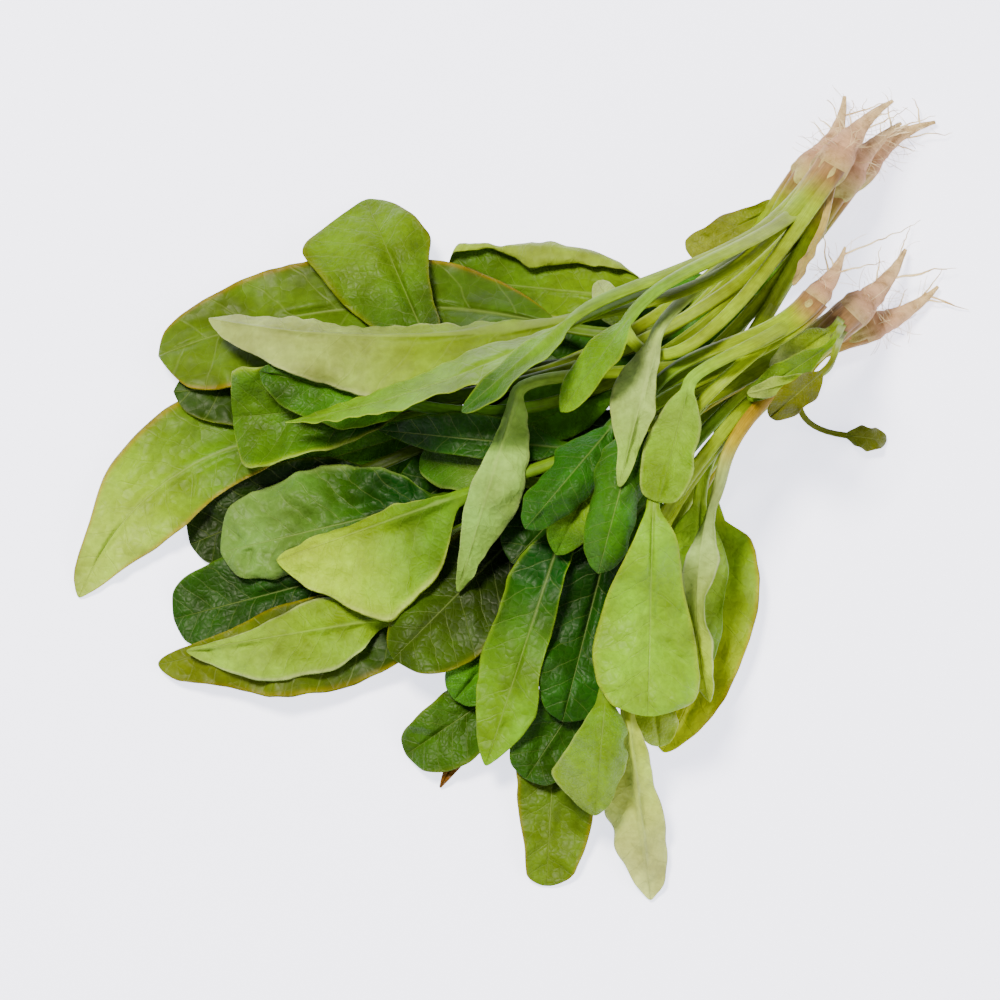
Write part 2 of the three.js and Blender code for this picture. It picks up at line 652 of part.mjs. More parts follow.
/** Everything under the table's surface, to shave the resting spots flat. */
function tableSolid() {
  const box = new THREE.BoxGeometry(800, 800, 50);
  const corners = [];
  const index = new Map();
  const places = box.attributes.position;
  const sameAs = Array.from({ length: places.count }, (_, i) => {
    const key = [places.getX(i), places.getY(i), places.getZ(i) - 25].join(' ');
    if (!index.has(key)) {
      index.set(key, index.size);
      corners.push(places.getX(i), places.getY(i), places.getZ(i) - 25);
    }
    return index.get(key);
  });
  return toSolid(corners, Array.from(box.index.array, (i) => sameAs[i]));
}

/** Keeps the outer skin alone: hollows sealed in by fusing are filled, loose scraps dropped. */
function outerSkin(places, triangles) {
  const owner = Array.from({ length: places.length / 3 }, (_, i) => i);
  const find = (i) => {
    let top = i;
    while (owner[top] !== top) {
      owner[top] = owner[owner[top]];
      top = owner[top];
    }
    return top;
  };
  for (let k = 0; k < triangles.length; k += 3) {
    owner[find(triangles[k + 1])] = find(triangles[k]);
    owner[find(triangles[k + 2])] = find(triangles[k]);
  }
  const volumes = new Map();
  const corner = (i) => vec(places[3 * i], places[3 * i + 1], places[3 * i + 2]);
  for (let k = 0; k < triangles.length; k += 3) {
    const [a, b, c] = [0, 1, 2].map((n) => corner(triangles[k + n]));
    const skin = find(triangles[k]);
    volumes.set(skin, (volumes.get(skin) ?? 0) + a.dot(b.cross(c)) / 6);
  }
  const [outer] = [...volumes].reduce((best, entry) => (entry[1] > best[1] ? entry : best));
  const kept = [];
  for (let k = 0; k < triangles.length; k += 3) {
    if (find(triangles[k]) === outer) {
      kept.push(triangles[k], triangles[k + 1], triangles[k + 2]);
    }
  }
  return kept;
}

function toMesh(name, bodies, table, colour, roughness) {
  let solid = bodySolid(bodies[0]);
  for (const body of bodies.slice(1)) {
    solid = solid.add(bodySolid(body));
  }
  const { vertProperties, triVerts } = solid.subtract(table).getMesh();
  const geometry = new THREE.BufferGeometry();
  geometry.setAttribute('position', new THREE.BufferAttribute(vertProperties, 3));
  geometry.setIndex(outerSkin(vertProperties, triVerts));
  geometry.computeVertexNormals();
  const material = new THREE.MeshStandardMaterial({ color: colour, roughness });
  const mesh = new THREE.Mesh(geometry, material);
  mesh.name = name;
  return mesh;
}

// ---------------------------------------------------------------- the bunch
const pile = makeMap(0);
const laid = PLANTS.map((plant, index) => layPlant(plant, index, pile));
const everyPoint = laid.flatMap(({ leaves, root }) => [...leaves, ...root])
  .flatMap(({ rings }) => rings.flat());
everyPoint.forEach(lean);
const bounds = new THREE.Box3().setFromPoints(everyPoint);
const middle = bounds.getCenter(vec(0, 0));
everyPoint.forEach((point) => point.sub(vec(middle.x, middle.y, bounds.min.z + REST_FLAT)));

const bunch = new THREE.Group();
bunch.name = 'spinach_bunch';
const table = tableSolid();
PLANTS.forEach((plant, i) => {
  bunch.add(toMesh(`${plant.name}_leaves`, laid[i].leaves, table, plant.green, 0.5));
  bunch.add(toMesh(`${plant.name}_root`, laid[i].root, table, ROOT_COLOUR, 0.85));
});

export default bunch;
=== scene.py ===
"""A bunch of flat-leaf spinach with its roots on, laid down on its side.

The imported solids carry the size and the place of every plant.  Here each plant is dressed with
one closed sheet for every leaf, a ribbed crown, a wrinkled taproot, rootlets and root hairs.
Lengths are in millimetres until a mesh is written, which is in metres, with Z up.
"""

from __future__ import annotations

import logging
import math
from dataclasses import dataclass, field
from enum import Enum
from functools import partial
from typing import Any, Callable, Sequence

import bpy
import numpy as np
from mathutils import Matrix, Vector

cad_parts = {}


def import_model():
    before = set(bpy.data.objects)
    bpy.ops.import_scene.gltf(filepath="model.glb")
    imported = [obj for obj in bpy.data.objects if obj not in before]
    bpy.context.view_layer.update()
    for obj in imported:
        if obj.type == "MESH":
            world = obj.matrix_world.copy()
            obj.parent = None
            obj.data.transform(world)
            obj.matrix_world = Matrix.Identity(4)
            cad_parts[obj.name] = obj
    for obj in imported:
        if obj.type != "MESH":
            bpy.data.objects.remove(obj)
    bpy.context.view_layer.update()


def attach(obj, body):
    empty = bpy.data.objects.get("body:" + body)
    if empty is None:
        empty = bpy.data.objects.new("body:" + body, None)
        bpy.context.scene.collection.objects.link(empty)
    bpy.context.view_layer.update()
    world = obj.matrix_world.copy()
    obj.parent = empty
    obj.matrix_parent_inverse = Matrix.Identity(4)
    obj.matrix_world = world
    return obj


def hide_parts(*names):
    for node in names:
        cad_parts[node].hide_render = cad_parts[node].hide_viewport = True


LOG = logging.getLogger("spinach_bunch")

Array = np.ndarray
Point2 = tuple[float, float]
Adder = Callable[..., bpy.types.Node]

METRES = 0.001
BODY = "root"


# -------------------- small helpers
def linear(hex_colour: str) -> tuple[float, float, float]:
    """Turns an sRGB hex colour into linear light.

    Args:
        hex_colour: six hex digits after a hash sign.

    Returns:
        Linear red, green and blue.
    """
    values = [int(hex_colour[i : i + 2], 16) / 255 for i in (1, 3, 5)]
    return tuple(v / 12.92 if v <= 0.04045 else ((v + 0.055) / 1.055) ** 2.4 for v in values)


def smooth(x: Array | float) -> Array | float:
    """A smooth step over 0 to 1."""
    x = np.clip(x, 0.0, 1.0)
    return x * x * (3 - 2 * x)


def unit(vectors: Array) -> Array:
    """The same vectors at length 1."""
    return vectors / np.maximum(np.linalg.norm(vectors, axis=-1, keepdims=True), 1e-12)


def between(grid: Array, rows: tuple[Array, Array], columns: tuple[Array, Array],
            u: Array, v: Array) -> Array:
    """Values between the points of a grid.

    Args:
        grid: the values.
        rows: the two rows that each place lies between.
        columns: the two columns that each place lies between.
        u: how far each place is from the first row to the second, 0 to 1.
        v: the same for the columns.

    Returns:
        A value for each place.
    """
    (i, below), (j, beside) = rows, columns
    near = grid[i, j] * (1 - u) + grid[below, j] * u
    far = grid[i, beside] * (1 - u) + grid[below, beside] * u
    return near * (1 - v) + far * v


def soft_noise(x: Array, y: Array, seed: int, size: int = 64) -> Array:
    """Smooth random hills about one unit apart.

    Args:
        x: first coordinate.
        y: second coordinate.
        seed: picks the hills.
        size: the hills repeat after this many units.

    Returns:
        A height between -1 and 1 at each place.
    """
    lattice = np.random.default_rng(seed).uniform(-1, 1, (size, size))
    i, j = np.floor(x).astype(int), np.floor(y).astype(int)
    u, v = smooth(x - i), smooth(y - j)
    i, j = i % size, j % size
    return between(lattice, (i, (i + 1) % size), (j, (j + 1) % size), u, v)


class RepeatableRandom:
    """A small repeatable source of numbers between 0 and 1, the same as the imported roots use."""

    FACTOR = 16807
    RANGE = 2147483647

    def __init__(self, seed: int) -> None:
        """Starts the source at a seed."""
        self.state = seed

    def next(self) -> float:
        """The next number."""
        self.state = (self.state * self.FACTOR) % self.RANGE
        return self.state / self.RANGE


# -------------------- colours of the leaves
@dataclass(frozen=True)
class Tint:
    """Colours of one leaf, as sRGB hex.

    Attributes:
        face: of the side that lies uppermost, at the blade's base; where the base runs in under
            other leaves it is near black, painted shade.
        end: of the same side toward the tip.
        rim: of its margin.
        back: of the side that lies underneath.
        stalk: of the stalk.
    """

    face: str
    end: str
    rim: str
    back: str
    stalk: str = "#A9C24E"


class Tone(Enum):
    """Tints that several leaves of the bunch share; one is darkened and one lifted for the shade
    that their leaves lie in, painted shade and painted light.
    """

    # A green for leaves that lie in deep shade among the others, lifted so that they read lighter
    # there: painted light.
    LIFTED_IN_SHADE = Tint("#5AA40C", "#4C900A", "#4C8420", "#86A050", "#8FAE3C")
    # A near-black green for leaves that lie under the others, darkened for the shade there: painted
    # shade.
    DARKENED_IN_SHADE = Tint("#184604", "#1C4A04", "#2C6014", "#7C9A48", "#8FAE3C")
    OLIVE = Tint("#6C7C10", "#727C0C", "#84861C", "#98A258", "#A4A84A")
    MID = Tint("#4A8A12", "#5E9A20", "#86B746", "#A5BE6A")
    LIGHT = Tint("#84B038", "#98C44C", "#BCD680", "#B5C58A")
    PALE = Tint("#B4D46C", "#CAE28C", "#D8E8A4", "#7CA830", "#B5CC5E")
    SAGE = Tint("#86A43A", "#C0D08A", "#D2DAA4", "#6E9A30", "#B5CC5E")
    STRAW = Tint("#D8C486", "#E0CC9C", "#E8D4A4", "#C9A874", "#D8BE90")


# -------------------- sizes of the leaves
SMALL_BLADE = 10.0  # a half blade up to this wide is made of fewer faces, mm
BLUNTNESS = 2.2  # how long a half blade keeps its width on each side of its widest place


@dataclass(frozen=True)
class Half:
    """Half a blade, on one side of its midrib.

    A half with an outline of its own has, in place of peak and taper, the corners of its
    margin: the part of the blade's length and the width there in mm.

    Attributes:
        width: its greatest width, mm.
        peak: the part of the blade's length where it is widest.
        taper: how it runs out to the tip; less is blunter.
        fold: how far it turns up from flat at the midrib, degrees.
        curl: how far its margin turns on from there, degrees.
        corners: its own outline, where it has one.
    """

    width: float
    peak: float = 0.5
    taper: float = 0.5
    fold: float = 8.0
    curl: float = 12.0
    corners: tuple[Point2, ...] = ()

    def share(self, along: Array) -> Array:
        """Width along the blade, as a part of its greatest width."""
        if self.corners:
            place, width = np.array(self.corners).T
            near = [np.interp(along + step, place, width) for step in (-0.03, 0, 0.03)]
            return sum(near) / 3 / self.width
        rising = np.clip((self.peak - along) / self.peak, 0, 1)
        falling = np.clip((along - self.peak) / (1 - self.peak), 0, 1)
        grows = (1 - rising**BLUNTNESS) ** 0.85
        shrinks = (1 - falling**BLUNTNESS) ** self.taper
        return np.where(along < self.peak, grows, shrinks)


def cut(*corners: Point2, fold: float = 8.0, curl: float = 12.0) -> Half:
    """A half blade with an outline of its own."""
    return Half(max(width for _, width in corners), fold=fold, curl=curl, corners=corners)


@dataclass(frozen=True)
class LeafShape:
    """One leaf.

    Attributes:
        base: where its blade begins, in plan, mm.
        tip: where its blade ends, in plan, mm.
        left: the half blade to the left, looking from the base to the tip.
        right: the half blade to the right.
        tint: its colours.
        bow: how far its midrib bends to the left, mm.
        roll: how far the whole blade is turned about its midrib, degrees.
        rise: height of the blade's base over what it lies on, mm.
        arch: how far its middle stands above a line from its base to its tip, mm.
        end: height of its tip, mm.
        under: whether the underside lies uppermost.
        wave: how far the margin's ripples reach up and down, mm.
        ripples: how many there are along the blade.
        stalk: half width of the stalk, mm.
        near: how stiffly the stalk leaves the crown, as a part of its reach.
        far: how stiffly it meets the blade.
        pucker: how crinkled the blade is against the usual.
        hem: how far the right margin rolls over on the fine leaf, degrees.
    """

    base: Point2
    tip: Point2
    left: Half
    right: Half
    tint: Tone | Tint = Tone.MID
    bow: float = 0.0
    roll: float = 0.0
    rise: float = 4.5
    arch: float = 4.0
    end: float = 2.0
    under: bool = False
    wave: float = 1.8
    ripples: float = 2.3
    stalk: float = 2.7
    near: float = 0.35
    far: float = 0.38
    pucker: float = 1.0
    hem: float = 0.0

    @property
    def colours(self) -> Tint:
        """The tint itself, whichever way it was given."""
        return self.tint.value if isinstance(self.tint, Tone) else self.tint

    @property
    def widest(self) -> float:
        """Greatest width of the wider half, mm."""
        return max(self.left.width, self.right.width)

    @property
    def small(self) -> bool:
        """Whether the leaf is narrow enough to be made of fewer faces."""
        return self.widest <= SMALL_BLADE


@dataclass(frozen=True)
class PlantShape:
    """One plant: its crown in plan, the way its leaves head, its root and its leaves.

    Attributes:
        name: what its pieces are named for.
        crown: middle of the crown in plan, mm.
        heading: the way its leaves head, degrees.
        root: the taproot's length and its bend to the side, mm.
        girth: size of the crown and the root's thickness against the usual.
        leaves: from the lowest to the top.
    """

    name: str
    crown: Point2
    heading: float
    root: Point2
    girth: float
    leaves: tuple[LeafShape, ...]


# Short names, for the table below alone.
Leaf = LeafShape
T = Tone

# The tints are set to how each leaf reads where it lies in the bunch: the near-black base colours
# paint the shade under the leaves above.
PLANTS: tuple[PlantShape, ...] = (
    PlantShape("low_back", (133, 131), 226, (26, 8), 1.0, (
        Leaf((-18, 30), (-80, 10), Half(16), Half(22), T.LIFTED_IN_SHADE),
        Leaf((38, 50), (-36, -6), Half(22), Half(20), T.DARKENED_IN_SHADE),
        # A dark leaf laid under the stalks, darker toward its tip, stands for the shade between
        # them: painted shade.
        Leaf((92, 82), (14, 50), Half(21, 0.5, 0.3), Half(21, 0.5, 0.3),
             Tint("#4C9408", "#2C6006", "#2C6014", "#7C9A48")),
        # Near black at its base and dark to its tip, for a leaf deep under the others: painted
        # shade.
        Leaf((-47, 12), (-111, -17), Half(16, 0.6, 0.4), Half(18, 0.6, 0.4),
             Tint("#0C3002", "#264204", "#445E0C", "#98A258")),
        Leaf((-55, -28), (-116, -45), Half(16, 0.65, 0.38), Half(18, 0.6, 0.38),
             Tint("#184808", "#2E5A10", "#4C7A1C", "#7C9A48"), arch=5),
        Leaf((-27, -39), (-121, -62),
             cut((0, 6), (0.14, 21), (0.39, 24), (0.6, 23), (0.76, 14), (0.97, 6.5), (1, 2)),
             cut((0, 6), (0.2, 13), (0.5, 12), (0.72, 7), (0.94, 3.5), (1, 2)),
             Tint("#2E5002", "#7A8E14", "#988E2C", "#98A258")),
        Leaf((-74, 26), (-150, -37),
             cut((0, 5), (0.12, 12), (0.54, 18), (0.72, 16), (0.94, 6), (1, 1), curl=-10),
             cut((0, 14), (0.1, 25), (0.33, 25), (0.6, 18.5), (0.75, 10.5), (0.95, 5), (1, 1),
                 curl=-16),
             Tint("#609200", "#CCE684", "#C0A060", "#B5C58A"), bow=-15, arch=7),
        Leaf((-42, -45), (-111, -57),
             cut((0, 4), (0.08, 8), (0.26, 16.5), (0.6, 17), (0.76, 13), (0.9, 7), (1, 1),
                 fold=-8, curl=-15),
             cut((0, 6), (0.19, 11.5), (0.33, 12), (0.52, 7.5), (0.75, 3), (1, 1),
                 fold=-10, curl=-12),
             Tint("#9ABC5C", "#BCE07C", "#DCE8B0", "#6E9A24"), under=True, wave=1.0),
    )),
    PlantShape("low_front", (133, 67), 200, (24, -6), 0.9, (
        Leaf((77, -8), (57, -94),
             cut((0, 4), (0.05, 12), (0.13, 15), (0.25, 16.5), (0.47, 15), (0.69, 12.5),
                 (0.86, 8), (1, 2)),
             Half(16, 0.45, 0.45),
             Tint("#A8DC14", "#ECFF30", "#CCB044", "#98A258", "#C8B048"), bow=7, arch=5,
             near=0.3, far=0.65),
        Leaf((20, -75), (16, -142),
             cut((0, 5), (0.3, 18), (0.47, 18), (0.65, 15), (0.8, 12.5), (0.95, 9), (1, 3)),
             cut((0, 8), (0.3, 14), (0.5, 12), (0.71, 9.5), (0.97, 7), (1, 3)),
             Tint("#466A00", "#749814", "#A3962C", "#98A258"), arch=5),
        Leaf((125, 25), (140, 23), Half(4.7), Half(4.7), T.OLIVE,
             stalk=1.3, near=0.5, far=0.75),
        Leaf((4, -60), (-21, -107), Half(4.5, 0.4, 0.8), Half(4.5, 0.4, 0.8),
             Tint("#6E7A14", "#8A5A1C", "#9A6A2A", "#98A258")),
        Leaf((11, -64), (-33, -95), Half(15.5, 0.6, 0.4), Half(10.5, 0.65, 0.4),
             Tint("#3A6A00", "#426E00", "#6A8410", "#86A050")),
        Leaf((8, -46), (-16, -75), Half(12), Half(12), T.LIFTED_IN_SHADE),
        # Its near-black base colour paints the shade where it runs in under other leaves.
        Leaf((11, -8), (-38, -60), Half(22, 0.6, 0.5), Half(17.5, 0.42, 0.6),
             Tint("#0A2200", "#466800", "#868A1C", "#98A258")),
        Leaf((58, 6), (0, -71), Half(17.5), Half(17.5), T.MID),
        Leaf((56, 34), (4, -24), Half(17), Half(20, 0.4), T.DARKENED_IN_SHADE),
        Leaf((39, -57), (9, -104), Half(14.5, 0.5, 0.4), Half(15, 0.5, 0.4),
             Tint("#2A6004", "#326202", "#4C7A10", "#86A050", "#B8B450")),
        # Its near-black base colour paints the shade where it runs in under other leaves.
        Leaf((40, -11), (22, -83), Half(16.5, 0.5, 0.45), Half(15, 0.5, 0.45),
             Tint("#104A00", "#266200", "#326A08", "#86A050", "#B8B450")),
    )),
    PlantShape("back", (116, 131), 234, (24, -7), 0.95, (
        Leaf((111, 120), (69, 98), Half(12, 0.6, 0.3), Half(6.5, 0.6, 0.3),
             Tint("#8A9A4C", "#9EA85A", "#9C8C44", "#98A258")),
        # Its right margin curls over into shade; the pale rim is partly the underside that the curl
        # turns up and partly painted light on that shaded curl.
        Leaf((58, 78), (-20, 87), Half(11.5, 0.55, 0.28, 0, 10),
             Half(24.5, 0.52, 0.25, -5, 112),
             Tint("#82A82C", "#588218", "#D0D898", "#B4CC70"), hem=110),
        # A vivid green, lifted because the leaf lies deep in shade: painted light.
        Leaf((44, 45), (-7, 21), Half(11), Half(14),
             Tint("#7CD822", "#6EC41E", "#54841C", "#86A050"), near=0.42, far=0.52),
        # Its near-black base colour paints the shade where it runs in under other leaves.
        Leaf((7, 51), (-119, 42), Half(17, 0.6, 0.4), Half(13, 0.6, 0.4),
             Tint("#102E00", "#305200", "#5E6E10", "#A5BE6A"), near=0.42, far=0.52),
        Leaf((22, 68), (-125, 56), Half(24, 0.7, 0.3), Half(21.5),
             Tint("#4C7200", "#688A0C", "#B08A3A", "#A5BE6A"),
             bow=-13, arch=5, near=0.42, far=0.52),
        Leaf((-27, 62), (-50, 119),
             cut((0, 10), (0.5, 26), (0.82, 31), (0.9, 22), (0.95, 11), (1, 3)),
             cut((0, 8), (0.2, 8), (0.47, 12.5), (0.62, 17), (0.77, 16), (0.92, 9), (1, 2)),
             Tint("#4C7600", "#84A844", "#8A9040", "#A5BE6A"), near=0.42, far=0.3),
    )),
    PlantShape("middle_back", (128, 126), 236, (24, 5), 0.95, (
        # Its near-black base colour paints the shade where it runs in under other leaves.
        Leaf((-22, 0), (-100, -20), Half(16.5, 0.6, 0.35, -6, -25),
             Half(24, 0.55, 0.42, -6, -30),
             Tint("#0C4A00", "#88AA68", "#9CB878", "#A5BE6A"), arch=7, wave=2,
             pucker=3.0),
        Leaf((4, 8), (-29, 16), Half(10, 0.55, 0.5), Half(9, 0.55, 0.4),
             Tint("#82A45E", "#527A3C", "#94AC6C", "#A5BE6A")),
        # Its near-black base colour paints the shade where it runs in under other leaves.
        Leaf((-36, 38), (-97, 32),
             cut((0, 6), (0.26, 13), (0.5, 18), (0.74, 20), (0.9, 25.5), (0.96, 16), (1, 4),
                 fold=20, curl=20),
             cut((0, 4), (0.34, 13), (0.69, 20), (0.91, 23), (0.98, 18), (1, 4),
                 fold=20, curl=20),
             Tint("#0A4C04", "#5A8C06", "#BCD27C", "#B5C58A")),
        Leaf((-32, 37), (-88, 50), Half(15, 0.45, 0.7, 10, 20), Half(7, 0.6, 0.5, 15, 20),
             Tint("#5EA828", "#3A6A04", "#6C9440", "#B5C58A")),
        Leaf((24, 20), (-44, 27), Half(8, 0.35, 0.9), Half(10, 0.45, 0.9),
             Tint("#2C6C08", "#144800", "#4C7034", "#86A050")),
    )),
    PlantShape("front", (129, 73), 222, (24, -5), 0.95, (
        Leaf((53, -66), (56, -92), Half(8), Half(7.5),
             Tint("#A6CE08", "#A8CC00", "#C6D86A", "#B5C58A")),
        Leaf((72, 0), (66, -71), Half(12), Half(13.5),
             Tint("#BCEC54", "#7AA608", "#7CAA20", "#86A050", "#C0B050")),
        Leaf((78, 2), (74, -76), Half(7, 0.5, 0.5, 0), Half(8, 0.5, 0.5, 0),
             Tint("#CEE8A0", "#CAE478", "#DCE8C0", "#7CA830", "#C4A44C"),
             bow=-5, roll=50, under=True, near=0.8, far=0.2),
        Leaf((45, -82), (52, -147),
             cut((0, 3), (0.26, 7), (0.54, 8.5), (0.75, 9), (0.92, 5.5), (1, 1),
                 fold=-12, curl=-10),
             cut((0, 3), (0.1, 4), (0.29, 9), (0.51, 15), (0.71, 11.5), (0.94, 4), (1, 1),
                 fold=-25, curl=-15),
             Tint("#E8FF92", "#F4FFB4", "#ECF6B8", "#7CA830"),
             under=True),
        Leaf((37, -76), (33, -117),
             cut((0, 5), (0.1, 11), (0.23, 13), (0.48, 11.5), (0.76, 8), (1, 2),
                 fold=-30, curl=-30),
             cut((0, 4), (0.23, 8), (0.45, 12.5), (0.67, 17.5), (0.8, 13.5), (1, 2),
                 fold=-5, curl=-5),
             Tint("#7CA832", "#88AE18", "#C4DA90", "#A5BE6A"), wave=0.8),
        # Its near-black base colour paints the shade where it runs in under other leaves.
        Leaf((22, -13), (-5, -99),
             cut((0, 6.5), (0.2, 6.5), (0.39, 7.5), (0.6, 8.5), (0.72, 11), (0.83, 9.5),
                 (0.93, 5), (1, 1)),
             cut((0, 6), (0.1, 10.5), (0.22, 13), (0.35, 14.5), (0.51, 14), (0.75, 11),
                 (0.92, 5.5), (1, 1)),
             Tint("#0C5400", "#84BE00", "#8CB448", "#A5BE6A")),
        Leaf((-16, 1), (-80, -23),
             cut((0, 5), (0.11, 16), (0.21, 26), (0.39, 32), (0.56, 38), (0.66, 33),
                 (0.81, 20), (0.95, 10), (1, 2), fold=-8, curl=-10),
             Half(5.5, 0.5, 0.5, -25, -20), Tint("#72A430", "#D0EE7C", "#E0EEA0", "#7CA830"),
             arch=6, under=True, wave=0.8),
        Leaf((6, 41), (-15, -35),
             cut((0, 3), (0.05, 6.5), (0.13, 10), (0.3, 13.5), (0.49, 14), (0.66, 10),
                 (0.82, 5.5), (1, 1), fold=-28, curl=-12),
             cut((0, 2), (0.17, 3), (0.32, 4), (0.5, 7), (0.63, 6.5), (0.8, 4), (1, 1),
                 fold=-8, curl=-10),
             Tint("#C8F098", "#A8CE7C", "#D0E4A4", "#7CA830"), arch=5, under=True,
             near=0.4, far=0.12, wave=0.8),
        Leaf((121, 66), (99, 50), Half(6, 0.4), Half(6.5, 0.4),
             Tint("#D4F870", "#F0FFB0", "#D0E4A0", "#B5C58A"), stalk=1.8),
        Leaf((119, 59), (90, 39), Half(5), Half(5.4), T.LIGHT, stalk=1.6),
        Leaf((115, 48), (90, 41), Half(3.6), Half(3.6), T.PALE, stalk=1.3, near=0.5,
             under=True),
        Leaf((118, 50), (98, 32), Half(6), Half(5.5),
             Tint("#7C8420", "#6E7408", "#84802C", "#98A258"), stalk=1.3, near=0.5),
    )),
    PlantShape("middle_front", (116, 79), 233, (17, -3), 0.7, (
        Leaf((36, 13), (20, -21), Half(8.5, 0.5, 0.7), Half(10, 0.5, 0.8),
             Tint("#B8EC60", "#5A9416", "#7CA040", "#A5BE6A")),
        Leaf((41, 29), (9, -11), Half(11, 0.5, 0.5, -15, -50),
             Half(11, 0.5, 0.5, -15, -50), Tint("#2A7400", "#2E7000", "#5C9424", "#A5BE6A"),
             arch=7, wave=0.8),
        Leaf((51, 33), (35, -28), Half(11, 0.5, 0.5, -15, -60),
             Half(11, 0.5, 0.5, -15, -60), Tint("#387400", "#488A04", "#7CA850", "#A5BE6A"),
             wave=0.8),
        Leaf((55, -3), (52, -81),
             cut((0, 2.5), (0.14, 9), (0.25, 10.5), (0.41, 12), (0.54, 15), (0.66, 17),
                 (0.83, 18.5), (0.91, 17), (0.97, 10), (1, 4), fold=6, curl=-20),
             cut((0, 2.5), (0.14, 6), (0.26, 10), (0.42, 15.5), (0.6, 19.5), (0.71, 20.5),
                 (0.82, 19), (0.92, 15.5), (0.98, 10), (1, 4), fold=6, curl=-20),
             Tint("#94D000", "#9CD800", "#B4D010", "#B5C58A", "#BED862"), arch=7,
             stalk=2.6, wave=0.9),
        Leaf((69, 45), (57, -1), Half(9.5, 0.6, 0.3), Half(10, 0.6, 0.3),
             Tint("#B6E07C", "#90B850", "#C8DA94", "#7CA830"), under=True, far=0.15),
    )),
    PlantShape("top", (124, 133), 238, (26, 6), 1.0, (
        Leaf((118, 104), (108, 84), Half(1.8), Half(1.8), T.STRAW, stalk=1.5, near=0.3),
        Leaf((46, 66), (36, 86), Half(5.5), Half(5.5), T.PALE, under=True),
        # Its pale underside colour is real, brightened further because the leaf slopes away from
        # the key lamp: painted light.
        Leaf((57, 63), (43, 5),
             cut((0, 2.5), (0.19, 3), (0.49, 6), (0.72, 5), (0.88, 3), (1, 1),
                 fold=-12, curl=-10),
             cut((0, 3), (0.11, 5), (0.28, 10), (0.47, 12), (0.62, 8.5), (0.75, 4), (1, 1),
                 fold=-12, curl=-10),
             Tint("#D4EEA4", "#B8DC80", "#D4E4A0", "#7CA830"),
             under=True, near=0.42, far=0.2, wave=0.8),
        Leaf((22, 70), (-107, 71),
             cut((0, 3), (0.17, 9), (0.37, 22), (0.48, 26), (0.59, 24), (0.82, 14.5),
                 (0.98, 5), (1, 1), fold=-10, curl=-15),
             Half(9, 0.7, 0.7, -58, -10), T.SAGE,
             bow=6.5, arch=6, under=True, near=0.42, far=0.52, wave=0.8),
        Leaf((24, 68), (-78, 30), Half(11, 0.35, 1, 0), Half(11, 0.35, 1, 0),
             Tint("#86B41C", "#84B048", "#C0D87C", "#A5BE6A"),
             bow=5, roll=55, near=0.42, far=0.3, wave=0.8),
        Leaf((28, 72), (-14, 34), Half(8, 0.5, 0.5, 0), Half(8, 0.5, 0.5, 0),
             Tint("#84B434", "#3E6C1C", "#A8C468", "#7CA830"),
             roll=50, under=True, near=0.42, far=0.2, wave=0.8),
        Leaf((48, 72), (22, 34), Half(7.5, 0.5, 0.6, 0), Half(7.5, 0.5, 0.6, 0),
             Tint("#76AE04", "#90CC2C", "#B8D468", "#A5BE6A"), roll=30,
             near=0.42, far=0.3, wave=0.8),
    )),
)

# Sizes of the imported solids, mm.
BLADE_THICKNESS = 0.9
RIB_SHARE = 0.75  # how far the midrib stands out, against half the stalk's width
CROWN_HEIGHT = 7.0
CROWN_SPREAD = 3.0
CROWN_PROFILE = ((-9.0, 5.2), (-5.0, 6.8), (3.0, 6.8), (10.0, 5.0))  # place along, radius
STALK_SWELL = 1.35  # how much thicker a stalk is where it leaves the crown
STALK_FLATNESS = 0.75
ROOT_START = -9.3
ROOT_PROFILE = ((0.0, 5.0), (0.15, 4.6), (0.4, 3.1), (0.7, 1.8), (1.0, 0.7))  # part, radius
ROOT_DROP = 3.5
ROOTLET_RADIUS = 0.45
ROOTLETS_PER_ROOT = 4
REST_FLAT = 0.3  # depth shaved off what touches the table

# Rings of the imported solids.
STALK_STATIONS = np.array([0, 0.2, 0.45, 0.74])
BLADE_STATIONS = np.array([0, 0.09, 0.25, 0.44, 0.64, 0.84, 0.985])
SMALL_BLADE_STATIONS = np.array([0, 0.18, 0.45, 0.75, 0.97])
ACROSS = np.array([-1, -0.5, 0, 0.5, 1])
RING = 10
CROWN_SIDES = 8
ROOTLET_SIDES = 4

# How the plants are laid on one another.
PLANT_GAP = 1.0  # kept under a plant as it is laid down, mm
LEAF_GAP = 0.8  # kept under a leaf on its own plant's leaves, mm
CLEAR_GAP = 0.7  # left under every plant in the end, mm
SETTLE_GAP = 0.25  # kept under a fine leaf, mm
SETTLE_MOST = 3.0  # the most that a fine leaf is lifted for it, mm
STIFFNESS = 0.014  # how sharply a leaf may bend over what is below it, per mm
LAST_STIFFNESS = 0.003  # the same for the last lift, which moves more of the plant
NOTHING = 1e4  # height that marks a cell with nothing over it, mm
LEAN_TOWARD = np.array([0.0, -419.0, 1151.0])  # the pile draws in toward it as it rises

CURL_STEPS = 12
HEM_START = 0.6  # part of the half blade where a rolled margin begins
HEM_GROWTH = 800.0  # degrees of roll for which the half blade is twice as wide

# The side veins, in spaces between two of them; the fine mesh and the skin share these.
VEIN_SLOPE = 0.8
VEIN_CURVE = 0.06
VEIN_STAGGER = 0.35
MAP_START = 40.0  # where the leaf map begins, so that it holds no negative place


